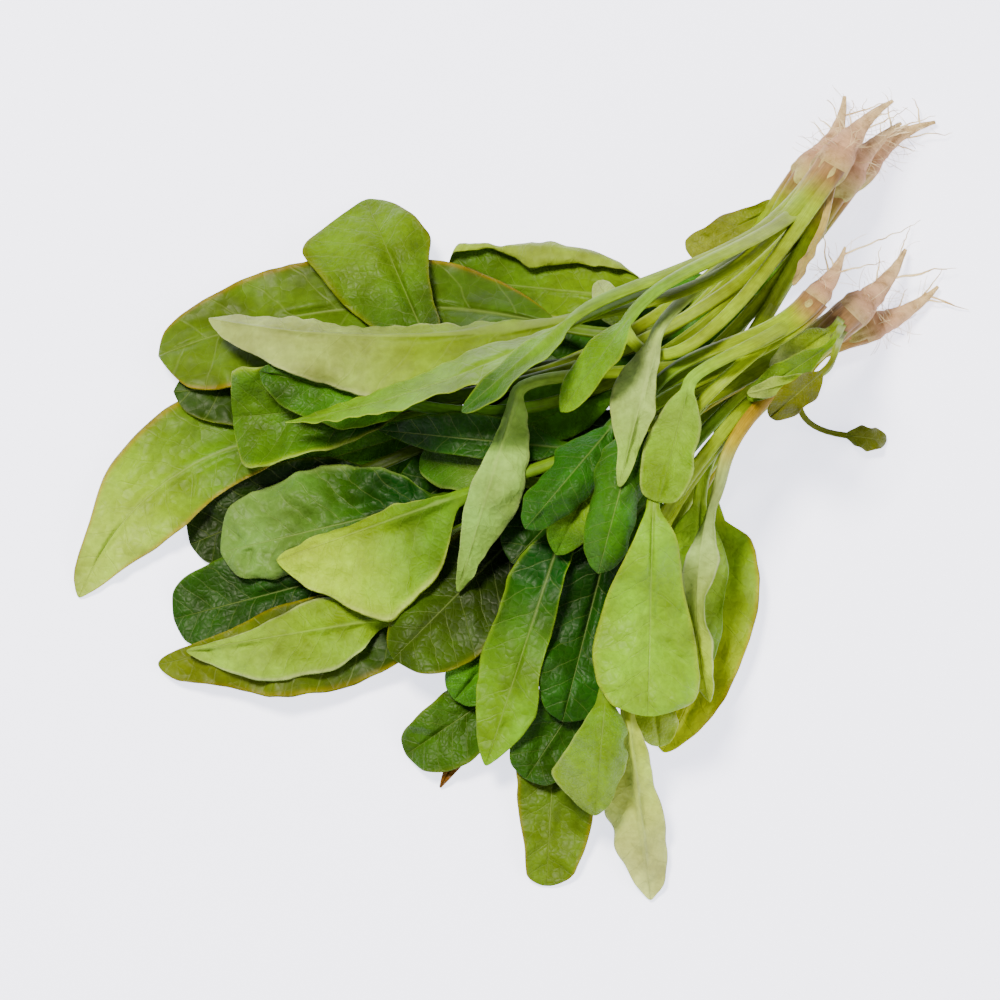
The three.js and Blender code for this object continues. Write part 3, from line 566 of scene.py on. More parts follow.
# -------------------- laying leaves on a pile
@dataclass
class HeightMap:
    """A square height map on which bodies are laid down, one on another.

    Attributes:
        cell: side of a cell, mm.
        half: half the side of the map, mm.
    """

    cell: float = 2.5
    half: float = 230.0

    @property
    def count(self) -> int:
        """Cells along one side."""
        return round(2 * self.half / self.cell)

    def filled(self, value: float) -> Array:
        """A map with the same value everywhere."""
        return np.full((self.count, self.count), value)

    def cells(self, points: Array) -> tuple[Array, Array]:
        """Row and column of the cell under each point."""
        index = np.clip(np.floor((points[:, :2] + self.half) / self.cell), 0, self.count - 1)
        index = index.astype(int)
        return index[:, 0], index[:, 1]

    def highest(self, points: Array, into: Array) -> None:
        """Raises a map to the highest of the points over each cell."""
        np.maximum.at(into, self.cells(points), points[:, 2])

    def lowest(self, *bodies: Array) -> Array:
        """A map of the lowest of the bodies' points over each cell."""
        low = self.filled(NOTHING)
        for points in bodies:
            np.minimum.at(low, self.cells(points), points[:, 2])
        return low

    @staticmethod
    def widen(values: Array) -> Array:
        """Each cell takes the highest value among itself and its neighbours."""
        wide = values.copy()
        inner = wide[1:-1, 1:-1]
        rows, columns = values.shape
        for i in (0, 1, 2):
            for j in (0, 1, 2):
                shifted = values[i : i + rows - 2, j : j + columns - 2]
                np.maximum(inner, shifted, out=inner)
        return wide

    def spread(self, values: Array, reach: int = 40, stiffness: float = STIFFNESS) -> Array:
        """Spreads peaks outward as stiff, rounded slopes, along both axes."""
        for axis in (0, 1):
            source = np.moveaxis(values, axis, 0)
            out = source.copy()
            for k in range(1, reach + 1):
                drop = stiffness * (k * self.cell) ** 2
                if drop > source.max():
                    break
                np.maximum(out[k:], source[:-k] - drop, out=out[k:])
                np.maximum(out[:-k], source[k:] - drop, out=out[:-k])
            values = np.moveaxis(out, 0, axis)
        return values

    @staticmethod
    def blur(values: Array, reach: int = 3) -> Array:
        """The mean over a square window."""
        for axis in (0, 1):
            out = np.zeros_like(values)
            for k in range(-reach, reach + 1):
                out += np.roll(values, k, axis) / (2 * reach + 1)
            values = out
        return values

    def need(self, pile: Array, low: Array, most: float = math.inf) -> Array:
        """How far each cell's lowest point is below the pile, 0 where nothing is over it."""
        return np.where(low < NOTHING / 2, np.clip(pile - low, 0, most), 0)

    def lift(self, pile: Array, low: Array, gap: float, soft: bool,
             stiffness: float = STIFFNESS) -> Array:
        """How far a body has to rise over each cell to clear the pile, as one smooth field."""
        need = self.need(self.widen(pile) + gap, low)
        need = self.spread(need, stiffness=stiffness)
        return self.blur(need) if soft else need

    def at(self, values: Array, points: Array) -> Array:
        """The field at any places, between the centres of its cells."""
        gx = (points[..., 0] + self.half) / self.cell - 0.5
        gy = (points[..., 1] + self.half) / self.cell - 0.5
        i = np.clip(np.floor(gx), 0, self.count - 2).astype(int)
        j = np.clip(np.floor(gy), 0, self.count - 2).astype(int)
        u, v = np.clip(gx - i, 0, 1), np.clip(gy - j, 0, 1)
        return between(values, (i, i + 1), (j, j + 1), u, v)


def over_faces(points: Array, faces: Array) -> Array:
    """66 evenly spread places of every face."""
    weights = np.array([[i / 10, j / 10, 1 - i / 10 - j / 10]
                        for i in range(11) for j in range(11 - i)])
    return np.einsum("sk,fkc->fsc", weights, points[faces]).reshape(-1, 3)


def coarse_leaf_faces(count: int) -> Array:
    """Triangles of a packed leaf of that many rings."""
    faces = []
    for i in range(count - 1):
        for j in range(RING):
            a, b = i * RING + j, i * RING + (j + 1) % RING
            c, d = a + RING, b + RING
            faces += [(a, d, b), (a, c, d)] if j < RING / 2 else [(a, c, b), (b, c, d)]
    tip = (count - 1) * RING
    for a, b, c, d in ((0, 1, 2, 9), (9, 2, 3, 8), (8, 3, 4, 7), (7, 4, 5, 6)):
        faces += [(a, b, c), (a, c, d), (tip + a, tip + c, tip + b), (tip + a, tip + d, tip + c)]
    return np.array(faces)


def round_faces(count: int, sides: int) -> list[tuple[int, ...]]:
    """Faces of a round body of rings, closed at both ends."""
    faces: list[tuple[int, ...]] = []
    for i in range(count - 1):
        for j in range(sides):
            a, b = i * sides + j, i * sides + (j + 1) % sides
            faces.append((a, a + sides, b + sides, b))
    end = (count - 1) * sides
    for j in range(1, sides - 1):
        faces += [(0, j, j + 1), (end, end + j + 1, end + j)]
    return faces


def triangles_of(faces: Sequence[tuple[int, ...]]) -> Array:
    """The same faces, with each quad cut in two."""
    out = []
    for face in faces:
        out += [(face[0], face[k], face[k + 1]) for k in range(1, len(face) - 1)]
    return np.array(out)


def frames_of(points: Array) -> tuple[Array, Array]:
    """Directions to the left of and up from a centre line.

    Args:
        points: the line, one point a row.

    Returns:
        The left and the up direction at each point.
    """
    ahead = np.vstack([points[1:], points[-1:]])
    behind = np.vstack([points[:1], points[:-1]])
    along = unit(ahead - behind)
    left = unit(np.cross([0.0, 0.0, 1.0], along))
    return left, np.cross(along, left)


def turns(sides: int) -> Array:
    """Evenly spread angles of a full turn."""
    return 2 * np.pi * np.arange(sides) / sides


def round_rings(points: Array, radii: Array, sides: int) -> Array:
    """Rings of a round body along a line; radii may be one a ring or one a point."""
    left, up = frames_of(points)
    turn = turns(sides)
    radii = np.broadcast_to(np.asarray(radii).reshape(len(points), -1), (len(points), sides))
    side = -np.cos(turn) * radii
    rise = np.sin(turn) * radii
    return points[:, None] + left[:, None] * side[..., None] + up[:, None] * rise[..., None]


@dataclass(frozen=True)
class Axes:
    """A plant's own axes: its crown's centre, the way its leaves head, the way to its left."""

    centre: Array
    ahead: Array
    aside: Array

    @staticmethod
    def of(plant: PlantShape) -> "Axes":
        """The axes of a plant before the plants are piled."""
        turn = math.radians(plant.heading)
        return Axes(
            np.array([*plant.crown, CROWN_HEIGHT], float),
            np.array([math.cos(turn), math.sin(turn), 0.0]),
            np.array([-math.sin(turn), math.cos(turn), 0.0]),
        )


# -------------------- the form of a leaf
class LeafForm:
    """The surface of one leaf, coarse as it is packed or as fine as it is seen."""

    def __init__(self, plant: PlantShape, shape: LeafShape, index: int) -> None:
        """Keeps the leaf's sizes and its place round the crown.

        Args:
            plant: the plant that it grows on.
            shape: its sizes.
            index: its number on the plant.
        """
        self.shape = shape
        self.girth = plant.girth
        self.axes = Axes.of(plant)
        self.around = 2 * math.pi * index / len(plant.leaves)

    def line(self, stalk: Array, blade: Array) -> Array:
        """Centre line: the stalk from the crown, then the midrib to the tip.

        Args:
            stalk: stations along the stalk, 0 to 1.
            blade: stations along the blade, 0 to 1.

        Returns:
            One point for every station.
        """
        shape, axes = self.shape, self.axes
        base, tip = np.array([*shape.base, 0.0]), np.array([*shape.tip, 0.0])
        left = unit(np.array([-(tip - base)[1], (tip - base)[0], 0.0]))
        bend = (base + tip) / 2 + left * shape.bow * 2
        start = unit(bend - base)
        spread = CROWN_SPREAD * self.girth
        root = axes.centre + axes.aside * math.cos(self.around) * spread
        root_height = CROWN_HEIGHT + math.sin(self.around) * spread
        root[2] = 0
        reach = np.linalg.norm(base - root)
        first = root + axes.ahead * reach * shape.near
        second = base - start * reach * shape.far
        u, v = stalk[:, None], 1 - stalk[:, None]
        lower = root * v**3 + first * 3 * v * v * u + second * 3 * v * u * u + base * u**3
        lower[:, 2] = root_height + (shape.rise - root_height) * smooth(stalk)
        t = blade[:, None]
        upper = base * (1 - t) ** 2 + bend * 2 * t * (1 - t) + tip * t * t
        upper[:, 2] = shape.rise + (shape.end - shape.rise) * blade
        upper[:, 2] += shape.arch * 4 * blade * (1 - blade)
        return np.vstack([lower, upper])

    def half_width(self, along: Array, across: Array) -> Array:
        """Half width of the blade in mm, on the side that each place across lies on."""
        shape = self.shape
        least = shape.stalk * np.clip(1 - along, 0.3, 1)
        right = np.maximum(shape.right.share(along) * shape.right.width, least)
        left = np.maximum(shape.left.share(along) * shape.left.width, least)
        return np.where(across < 0, right, left)

    def sheet(self, points: Array, along: Array, across: Array,
              hem: float = 0.0) -> tuple[Array, Array, Array]:
        """Middle sheet of the blade.

        Args:
            points: centre line, with its frames taken from the whole leaf: (rings, 3, 3).
            along: place of each ring along the blade, 0 to 1.
            across: places across, -1 at the right margin to 1 at the left.
            hem: how far the right margin rolls over, in degrees. The blade is wider there by
                what the roll takes up.

        Returns:
            Points and normals of the sheet, and each point's distance from the midrib in mm.
        """
        shape = self.shape
        t, s = np.meshgrid(along, across, indexing="ij")
        width = self.half_width(t, s) * np.where(s < 0, 1 + hem / HEM_GROWTH, 1.0)
        sign = np.where(s < 0, -1.0, 1.0)
        reach = np.abs(s)
        fold = np.radians(np.where(s < 0, shape.right.fold, shape.left.fold))
        curl = np.radians(np.where(s < 0, shape.right.curl, shape.left.curl))
        full = np.where(s < 0, shape.right.width, shape.left.width)
        roll = np.where(s < 0, math.radians(hem), 0.0)

        def slope(part: Array) -> Array:
            """How far the sheet is turned up from flat at a part of its half width."""
            rolled = roll * smooth((part - HEM_START) / (1 - HEM_START))
            return (sign * math.radians(shape.roll) + fold
                    + curl * (part * width / full) ** 2 + rolled)

        out, up = np.zeros_like(t), np.zeros_like(t)
        for k in range(CURL_STEPS):
            angle = slope((k + 0.5) / CURL_STEPS * reach)
            out += np.cos(angle) * width * reach / CURL_STEPS
            up += np.sin(angle) * width * reach / CURL_STEPS
        angle = slope(reach)
        middle = reach < 1e-6
        tilt = np.where(middle, -np.sin(math.radians(shape.roll)), -np.sin(angle) * sign)
        rise = np.where(middle, np.cos(math.radians(shape.roll)), np.cos(angle))
        phase = shape.ripples * t + np.where(s < 0, 0.4, 0.0)
        ripple = shape.wave * reach**2 * np.sin(2 * np.pi * phase) * np.sin(np.pi * t)
        centre, left, top = points[:, 0, None], points[:, 1, None], points[:, 2, None]
        normal = unit(left * tilt[..., None] + top * rise[..., None])
        place = centre + left * (out * sign)[..., None] + top * up[..., None]
        return place + normal * ripple[..., None], normal, width * s

    def rib(self, along: Array) -> Array:
        """How far the midrib stands out from the blade, mm."""
        return self.shape.stalk * RIB_SHARE * (1 - along) ** 1.2

    def coarse(self) -> Array:
        """Rings of ten points round the leaf, as it is packed."""
        shape = self.shape
        blade = SMALL_BLADE_STATIONS if shape.small else BLADE_STATIONS
        line = self.line(STALK_STATIONS, blade)
        left, up = frames_of(line)
        rings = []
        turn = turns(RING) - np.pi / RING
        for i, u in enumerate(STALK_STATIONS):
            radius = self.stalk_radius(u)
            side = -np.cos(turn)[:, None] * left[i] * radius
            rings.append(line[i] + side + np.sin(turn)[:, None] * up[i] * radius * STALK_FLATNESS)
        first = len(STALK_STATIONS)
        frame = np.stack([line[first:], left[first:], up[first:]], 1)
        sheet, normal, _ = self.sheet(frame, blade, ACROSS)
        rib = np.zeros_like(sheet[..., 0])
        rib[:, 2] = self.rib(blade)
        above = BLADE_THICKNESS / 2 + (rib if shape.under else 0 * rib)
        below = BLADE_THICKNESS / 2 + (0 * rib if shape.under else rib)
        top = sheet + normal * above[..., None]
        bottom = sheet - normal * below[..., None]
        for i in range(len(blade)):
            rings.append(np.vstack([bottom[i, :1], top[i], bottom[i, :0:-1]]))
        return np.array(rings)

    def stalk_radius(self, u: Array | float) -> Array | float:
        """Half width of the stalk along its length."""
        swell = STALK_SWELL - (STALK_SWELL - 1) * np.minimum(1, np.asarray(u) / 0.3)
        return self.shape.stalk * swell * (1 - 0.15 * np.asarray(u))


def coarse_freedom() -> Array:
    """How far each ring of a packed leaf's stalk is free of its neighbours."""
    return smooth((STALK_STATIONS - 0.12) / 0.35)


# -------------------- the fine mesh of a leaf
@dataclass
class Skin:
    """A mesh in the making.

    Attributes:
        places: of its vertices, mm.
        faces: the vertices of each.
        tint: linear colour of each vertex.
        traits: what else each vertex carries for its finish.
        uv: place of each vertex on the piece's map.
    """

    places: Array
    faces: list[tuple[int, ...]]
    tint: Array
    traits: Array
    uv: Array


@dataclass
class FineLeaf:
    """The leaf as it is seen: a closed sheet with its rib, quilting and rippled margin.

    Attributes:
        form: the leaf's surface.
        seed: picks its small irregularities.
        across_count: points over its width.
        blade_rings: rings along its blade.
        stalk_rings: rings along its stalk.
        thickness: of the blade, mm.
        vein_count: side veins on each side of a blade of the usual length.
        vein_space: least space between two side veins, mm.
        tip_start: part of the blade where its tip begins to round off.
        quilt: height of the hills between side veins, mm.
        hills: width, length and height of the crinkles, large to small, mm.
        edge: height of the small waves of the margin, mm.
        edge_length: their length, and that of their irregularity, mm.
        groove: depth of the groove over the midrib, mm.
        flush: colour of the stalk where it leaves the crown.
    """

    form: LeafForm
    seed: int
    across_count: int = 31
    blade_rings: int = 64
    stalk_rings: int = 26
    thickness: float = 0.55
    vein_count: float = 9.0
    vein_space: float = 4.0
    tip_start: float = 0.955
    quilt: float = 0.5
    hills: tuple[tuple[float, float, float], ...] = ((14, 17, 2.4), (5.5, 6, 1.1), (2.8, 2.8, 0.24))
    edge: float = 0.45
    edge_length: Point2 = (9.0, 13.0)
    groove: float = 0.25
    flush: str = "#C8A582"
    top: Array = field(init=False)
    bottom: Array = field(init=False)
    middle: Array = field(init=False)

    def __post_init__(self) -> None:
        """Fewer faces do for a small leaf; then the grid is laid out."""
        if self.form.shape.small:
            self.across_count, self.blade_rings = 19, 40
        step = np.linspace(0, 1, self.blade_rings)
        self.blade = 1 - (1 - step) ** 1.4
        self.stalk = np.linspace(0, 1, self.stalk_rings + 1)[:-1]
        side = 0.965 * np.linspace(0, 1, (self.across_count - 1) // 2) ** 1.1
        side = np.append(side, 1.0)
        self.across = np.concatenate([-side[:0:-1], side])
        self.along = np.concatenate([np.zeros(len(self.stalk)), self.blade])
        self.on_stalk = np.concatenate([self.stalk, np.ones(len(self.blade))])
        self.build()

    def build(self) -> None:
        """Works out the upper and the lower surface before the leaf is laid down."""
        shape = self.form.shape
        line = self.form.line(self.stalk, self.blade)
        left, up = frames_of(line)
        frame = np.stack([line, left, up], 1)
        sheet, normal, lateral = self.form.sheet(frame, self.along, self.across, shape.hem)
        past = np.clip((self.along - self.tip_start) / (1 - self.tip_start), 0, 1)
        tip = np.sqrt(1 - past**2)[:, None]
        sheet = line[:, None] + (sheet - line[:, None]) * tip[..., None]
        lateral = lateral * tip
        t, s = np.meshgrid(self.along, self.across, indexing="ij")
        length = np.linalg.norm(np.subtract(shape.tip, shape.base))
        self.spacing = max(self.vein_space, length / self.vein_count)
        self.u = lateral / self.spacing
        self.v = t * length / self.spacing
        relief = self.relief(lateral, t, s, t * length)
        sheet = sheet + normal * relief[..., None]
        reach = np.abs(s)
        half = self.thickness / 2 * (1 - 0.4 * reach**4)
        spread = 0.5 + shape.stalk * 0.42 * (1 - t)
        rib = self.form.rib(t) * np.exp(-((lateral / spread) ** 2))
        groove = self.groove * (1 - t) * np.exp(-((lateral / 0.9) ** 2)) * smooth(t / 0.05)
        above = half + (rib if shape.under else -groove)
        below = half + (-groove if shape.under else rib)
        on_margin = reach > 0.999
        above, below = np.where(on_margin, 0, above), np.where(on_margin, 0, below)
        round_top, round_bottom = self.stalk_surfaces(line, left, up)
        mix = self.sheetness(line)[:, None, None]
        self.top = round_top * (1 - mix) + (sheet + normal * above[..., None]) * mix
        self.bottom = round_bottom * (1 - mix) + (sheet - normal * below[..., None]) * mix
        ends = [0, -1]
        self.top[:, ends] = self.bottom[:, ends] = (self.top[:, ends] + self.bottom[:, ends]) / 2
        self.top[-1] = self.bottom[-1] = line[-1]
        self.middle = (self.top + self.bottom) / 2
        self.line = line

    def relief(self, lateral: Array, t: Array, s: Array, along_mm: Array) -> Array:
        """How far the sheet stands out from its smooth form, mm.

        Args:
            lateral: distance of each point from the midrib, mm.
            t: its place along the blade, 0 to 1.
            s: its place across, -1 to 1.
            along_mm: its distance from the blade's base, mm.

        Returns:
            The relief at each point.
        """
        shape = self.form.shape
        reach = np.abs(s)
        shift = np.random.default_rng(self.seed).uniform(0, 40, 6)
        fade = smooth(t / 0.12) * smooth((1 - t) / 0.1)
        quilt = self.pillow() * smooth(reach / 0.15) * (1 - reach**3) * fade
        hills = np.zeros_like(t)
        for k, (wide, long, high) in enumerate(self.hills):
            hills += soft_noise(lateral / wide + shift[2 * k], along_mm / long + shift[2 * k + 1],
                                self.seed + k) * high
        wavelength, drift = self.edge_length
        phase = 2 * np.pi * (along_mm / wavelength + shift[0]) + 1.3 * np.sign(s)
        edge = reach**4 * np.sin(phase + 2 * np.sin(along_mm / drift)) * self.edge
        crinkled = 0.4 + 0.6 * shape.pucker
        relief = quilt * self.quilt * shape.pucker * (-1.0 if shape.under else 1.0)
        relief += (hills * smooth(reach / 0.2) * crinkled + edge) * fade
        return relief * min(1.0, shape.widest / 14)

    def pillow(self) -> Array:
        """Rounded hills between the side veins, 0 on a vein and 1 midway."""
        reach = np.abs(self.u)
        stagger = np.where(self.u > 0, VEIN_STAGGER, 0.0)
        phase = self.v - VEIN_SLOPE * reach + VEIN_CURVE * reach**2 + stagger
        return np.abs(np.sin(np.pi * phase)) ** 0.8

    @staticmethod
    def travelled(line: Array) -> Array:
        """Distance along a line to each of its points, mm."""
        step = np.linalg.norm(np.diff(line, axis=0), axis=1)
        return np.cumsum(np.concatenate([[0], step]))

    def sheetness(self, line: Array) -> Array:
        """0 where the leaf is a round stalk, 1 where it is a sheet."""
        travelled = self.travelled(line)
        at_base = travelled[len(self.stalk)]
        span = min(8.0, at_base * 0.2)
        return smooth((travelled - at_base + span) / (2.0 * span))

    def stalk_surfaces(self, line: Array, left: Array, up: Array) -> tuple[Array, Array]:
        """Upper and lower surface of the stalk, oval with a shallow groove on its upper face."""
        radius = self.form.stalk_radius(self.on_stalk)[:, None]
        wide = np.sin(np.pi / 2 * self.across)[None] * radius
        tall = np.cos(np.pi / 2 * self.across)[None] * radius * STALK_FLATNESS
        depth = 1 - 0.34 * np.exp(-((self.across / 0.42) ** 2))[None]
        upper, lower = (tall, tall * depth) if self.form.shape.under else (tall * depth, tall)
        side = left[:, None] * wide[..., None]
        top = line[:, None] + side + up[:, None] * upper[..., None]
        bottom = line[:, None] + side - up[:, None] * lower[..., None]
        return top, bottom

    def raise_by(self, lift: Array, passes: int = 6) -> None:
        """Lifts the leaf by an amount for each point of its grid, rounded along and across.

        Args:
            lift: how far each point is asked to rise, mm.
            passes: how often the amounts are rounded.
        """
        for _ in range(passes):
            padded = np.pad(lift, 1, mode="edge")
            lift = (padded[:-2, 1:-1] + 2 * padded[1:-1, 1:-1] + padded[2:, 1:-1]) / 4
            padded = np.pad(lift, 1, mode="edge")
            lift = (padded[1:-1, :-2] + 2 * padded[1:-1, 1:-1] + padded[1:-1, 2:]) / 4
        for surface in (self.top, self.bottom, self.middle):
            surface[..., 2] += lift

    def freedom(self) -> Array:
        """How far each ring is free of its neighbours at the crown."""
        return np.interp(self.on_stalk, STALK_STATIONS, coarse_freedom())[:, None]

    @staticmethod
    def dense(surface: Array) -> Array:
        """Closely spread places of one surface."""
        parts = [surface]
        for k in (1, 2, 3):
            parts.append((surface[1:] * k + surface[:-1] * (4 - k)) / 4)
        out = np.concatenate(parts)
        beside = (out[:, 1:] + out[:, :-1]) / 2
        return np.concatenate([out.reshape(-1, 3), beside.reshape(-1, 3)])

    def skin(self) -> Skin:
        """The closed mesh, with its colours and its map."""
        ns = self.across_count
        rings = np.concatenate([self.top, self.bottom[:, -2:0:-1]], 1)
        count, loop = rings.shape[:2]
        places = np.vstack([rings[:-1].reshape(-1, 3), self.top[-1, :1]])
        apex = len(places) - 1
        faces: list[tuple[int, ...]] = []
        for i in range(count - 2):
            for j in range(loop):
                a, b = i * loop + j, i * loop + (j + 1) % loop
                faces.append((a, a + loop, b + loop, b))
        last = (count - 2) * loop
        for j in range(loop):
            faces.append((last + j, apex, last + (j + 1) % loop))
        faces.append((0, 1, loop - 1))
        for k in range(1, ns - 2):
            faces.append((loop - k, k, k + 1, loop - k - 1))
        faces.append((ns - 2, ns - 1, ns))
        columns = np.concatenate([np.arange(ns), np.arange(ns - 2, 0, -1)])
        lower = np.concatenate([np.zeros(ns), np.ones(ns - 2)])
        lower[[0, ns - 1]] = 0.5
        return Skin(places, faces, *self.carried(columns, lower))

    def carried(self, columns: Array, lower: Array) -> tuple[Array, Array, Array]:
        """Colour, traits and map place of every vertex.

        Args:
            columns: which place across each vertex of a ring has.
            lower: 1 for the vertices on the lower surface.

        Returns:
            Linear colour, traits (underside, stalk) and map place.
        """
        count, loop = len(self.along) - 1, len(columns)
        t = np.repeat(self.along[:count, None], loop, 1)
        face = self.colours(t, columns, lower)
        traits = np.zeros((count, loop, 4))
        traits[..., 0] = 1 - lower if self.form.shape.under else lower
        traits[..., 1] = 1 - smooth(t / 0.07)
        traits[..., 3] = 1
        along_mm = self.travelled(self.line)
        at_base = along_mm[len(self.stalk)]
        v = (along_mm[:count] - at_base) / self.spacing
        uv = np.zeros((count, loop, 2))
        uv[..., 0] = self.u[:count][:, columns] + MAP_START
        uv[..., 1] = v[:, None] + MAP_START
        face = np.vstack([face.reshape(-1, 3), face[-1, loop // 4][None]])
        traits = np.vstack([traits.reshape(-1, 4), traits[-1, 0][None]])
        uv = np.vstack([uv.reshape(-1, 2), [[MAP_START, uv[-1, 0, 1]]]])
        return face, traits, uv

    def colours(self, t: Array, columns: Array, lower: Array) -> Array:
        """Linear colour of every vertex but the tip.

        Args:
            t: place of each vertex along the blade, 0 to 1.
            columns: as for carried.
            lower: as for carried.

        Returns:
            Linear red, green and blue for each vertex of each ring.
        """
        tint = self.form.shape.colours
        count = len(t)
        face, end, rim, back, stem, flush = (np.array(linear(colour)) for colour in (
            tint.face, tint.end, tint.rim, tint.back, tint.stalk, self.flush))
        s = np.abs(self.across[columns])[None].repeat(count, 0)
        stalk = self.on_stalk[:count, None].repeat(len(columns), 1)

        def mixed(near: Array, far: Array, share: Array) -> Array:
            """Two colours mixed, by a share of the far one."""
            return near * (1 - share[..., None]) + far * share[..., None]

        # From the base colour to the tip colour; a near-black base colour paints shade under the
        # leaves above.
        blade = mixed(face, end, smooth((t - 0.15) / 0.75))
        blade = mixed(blade, rim, smooth((s - 0.86) / 0.14) * 0.75 * smooth(t / 0.1))
        blade = mixed(blade, back, lower[None] * np.ones_like(t))
        stem = mixed(stem, flush, 1 - smooth((stalk - 0.02) / 0.14))
        stem = mixed(stem, face, 0.85 * smooth((stalk - 0.4) / 0.5))
        return mixed(stem, blade, smooth(t / 0.07))


# -------------------- finishes
MATH = "ShaderNodeMath"
NOISE = "ShaderNodeTexNoise"
RANGE = "ShaderNodeMapRange"
SKIN = "ShaderNodeBsdfPrincipled"
PLUS, MINUS, TIMES, TIMES_PLUS, LARGER = ({"operation": name} for name in (
    "ADD", "SUBTRACT", "MULTIPLY", "MULTIPLY_ADD", "MAXIMUM"))
SOFT_STEP = {"interpolation_type": "SMOOTHSTEP"}
TWO_COLOURS = {"data_type": "RGBA"}


def add_node(tree: bpy.types.NodeTree, kind: str, settings: dict[str, Any] | None = None,
             links: dict[str | int, Any] | None = None) -> bpy.types.Node:
    """Adds a node.

    Args:
        tree: the tree that gets it.
        kind: its type.
        settings: attributes to set on the node.
        links: for each input, by name or number, a value, an output to link to it, or a node
            whose first output is linked to it.

    Returns:
        The new node.
    """
    node = tree.nodes.new(kind)
    for name, value in (settings or {}).items():
        setattr(node, name, value)
    for name, value in (links or {}).items():
        if isinstance(value, bpy.types.Node):
            value = value.outputs[0]
        if isinstance(value, bpy.types.NodeSocket):
            tree.links.new(value, node.inputs[name])
        else:
            node.inputs[name].default_value = value
    return node


def new_material(name: str) -> tuple[bpy.types.Material, Adder]:
    """An empty material.

    Args:
        name: the finish's plain name.

    Returns:
        The material, and what adds a node to it.
    """
    material = bpy.data.materials.new(name)
    material.use_nodes = True
    material.node_tree.nodes.clear()
    return material, partial(add_node, material.node_tree)


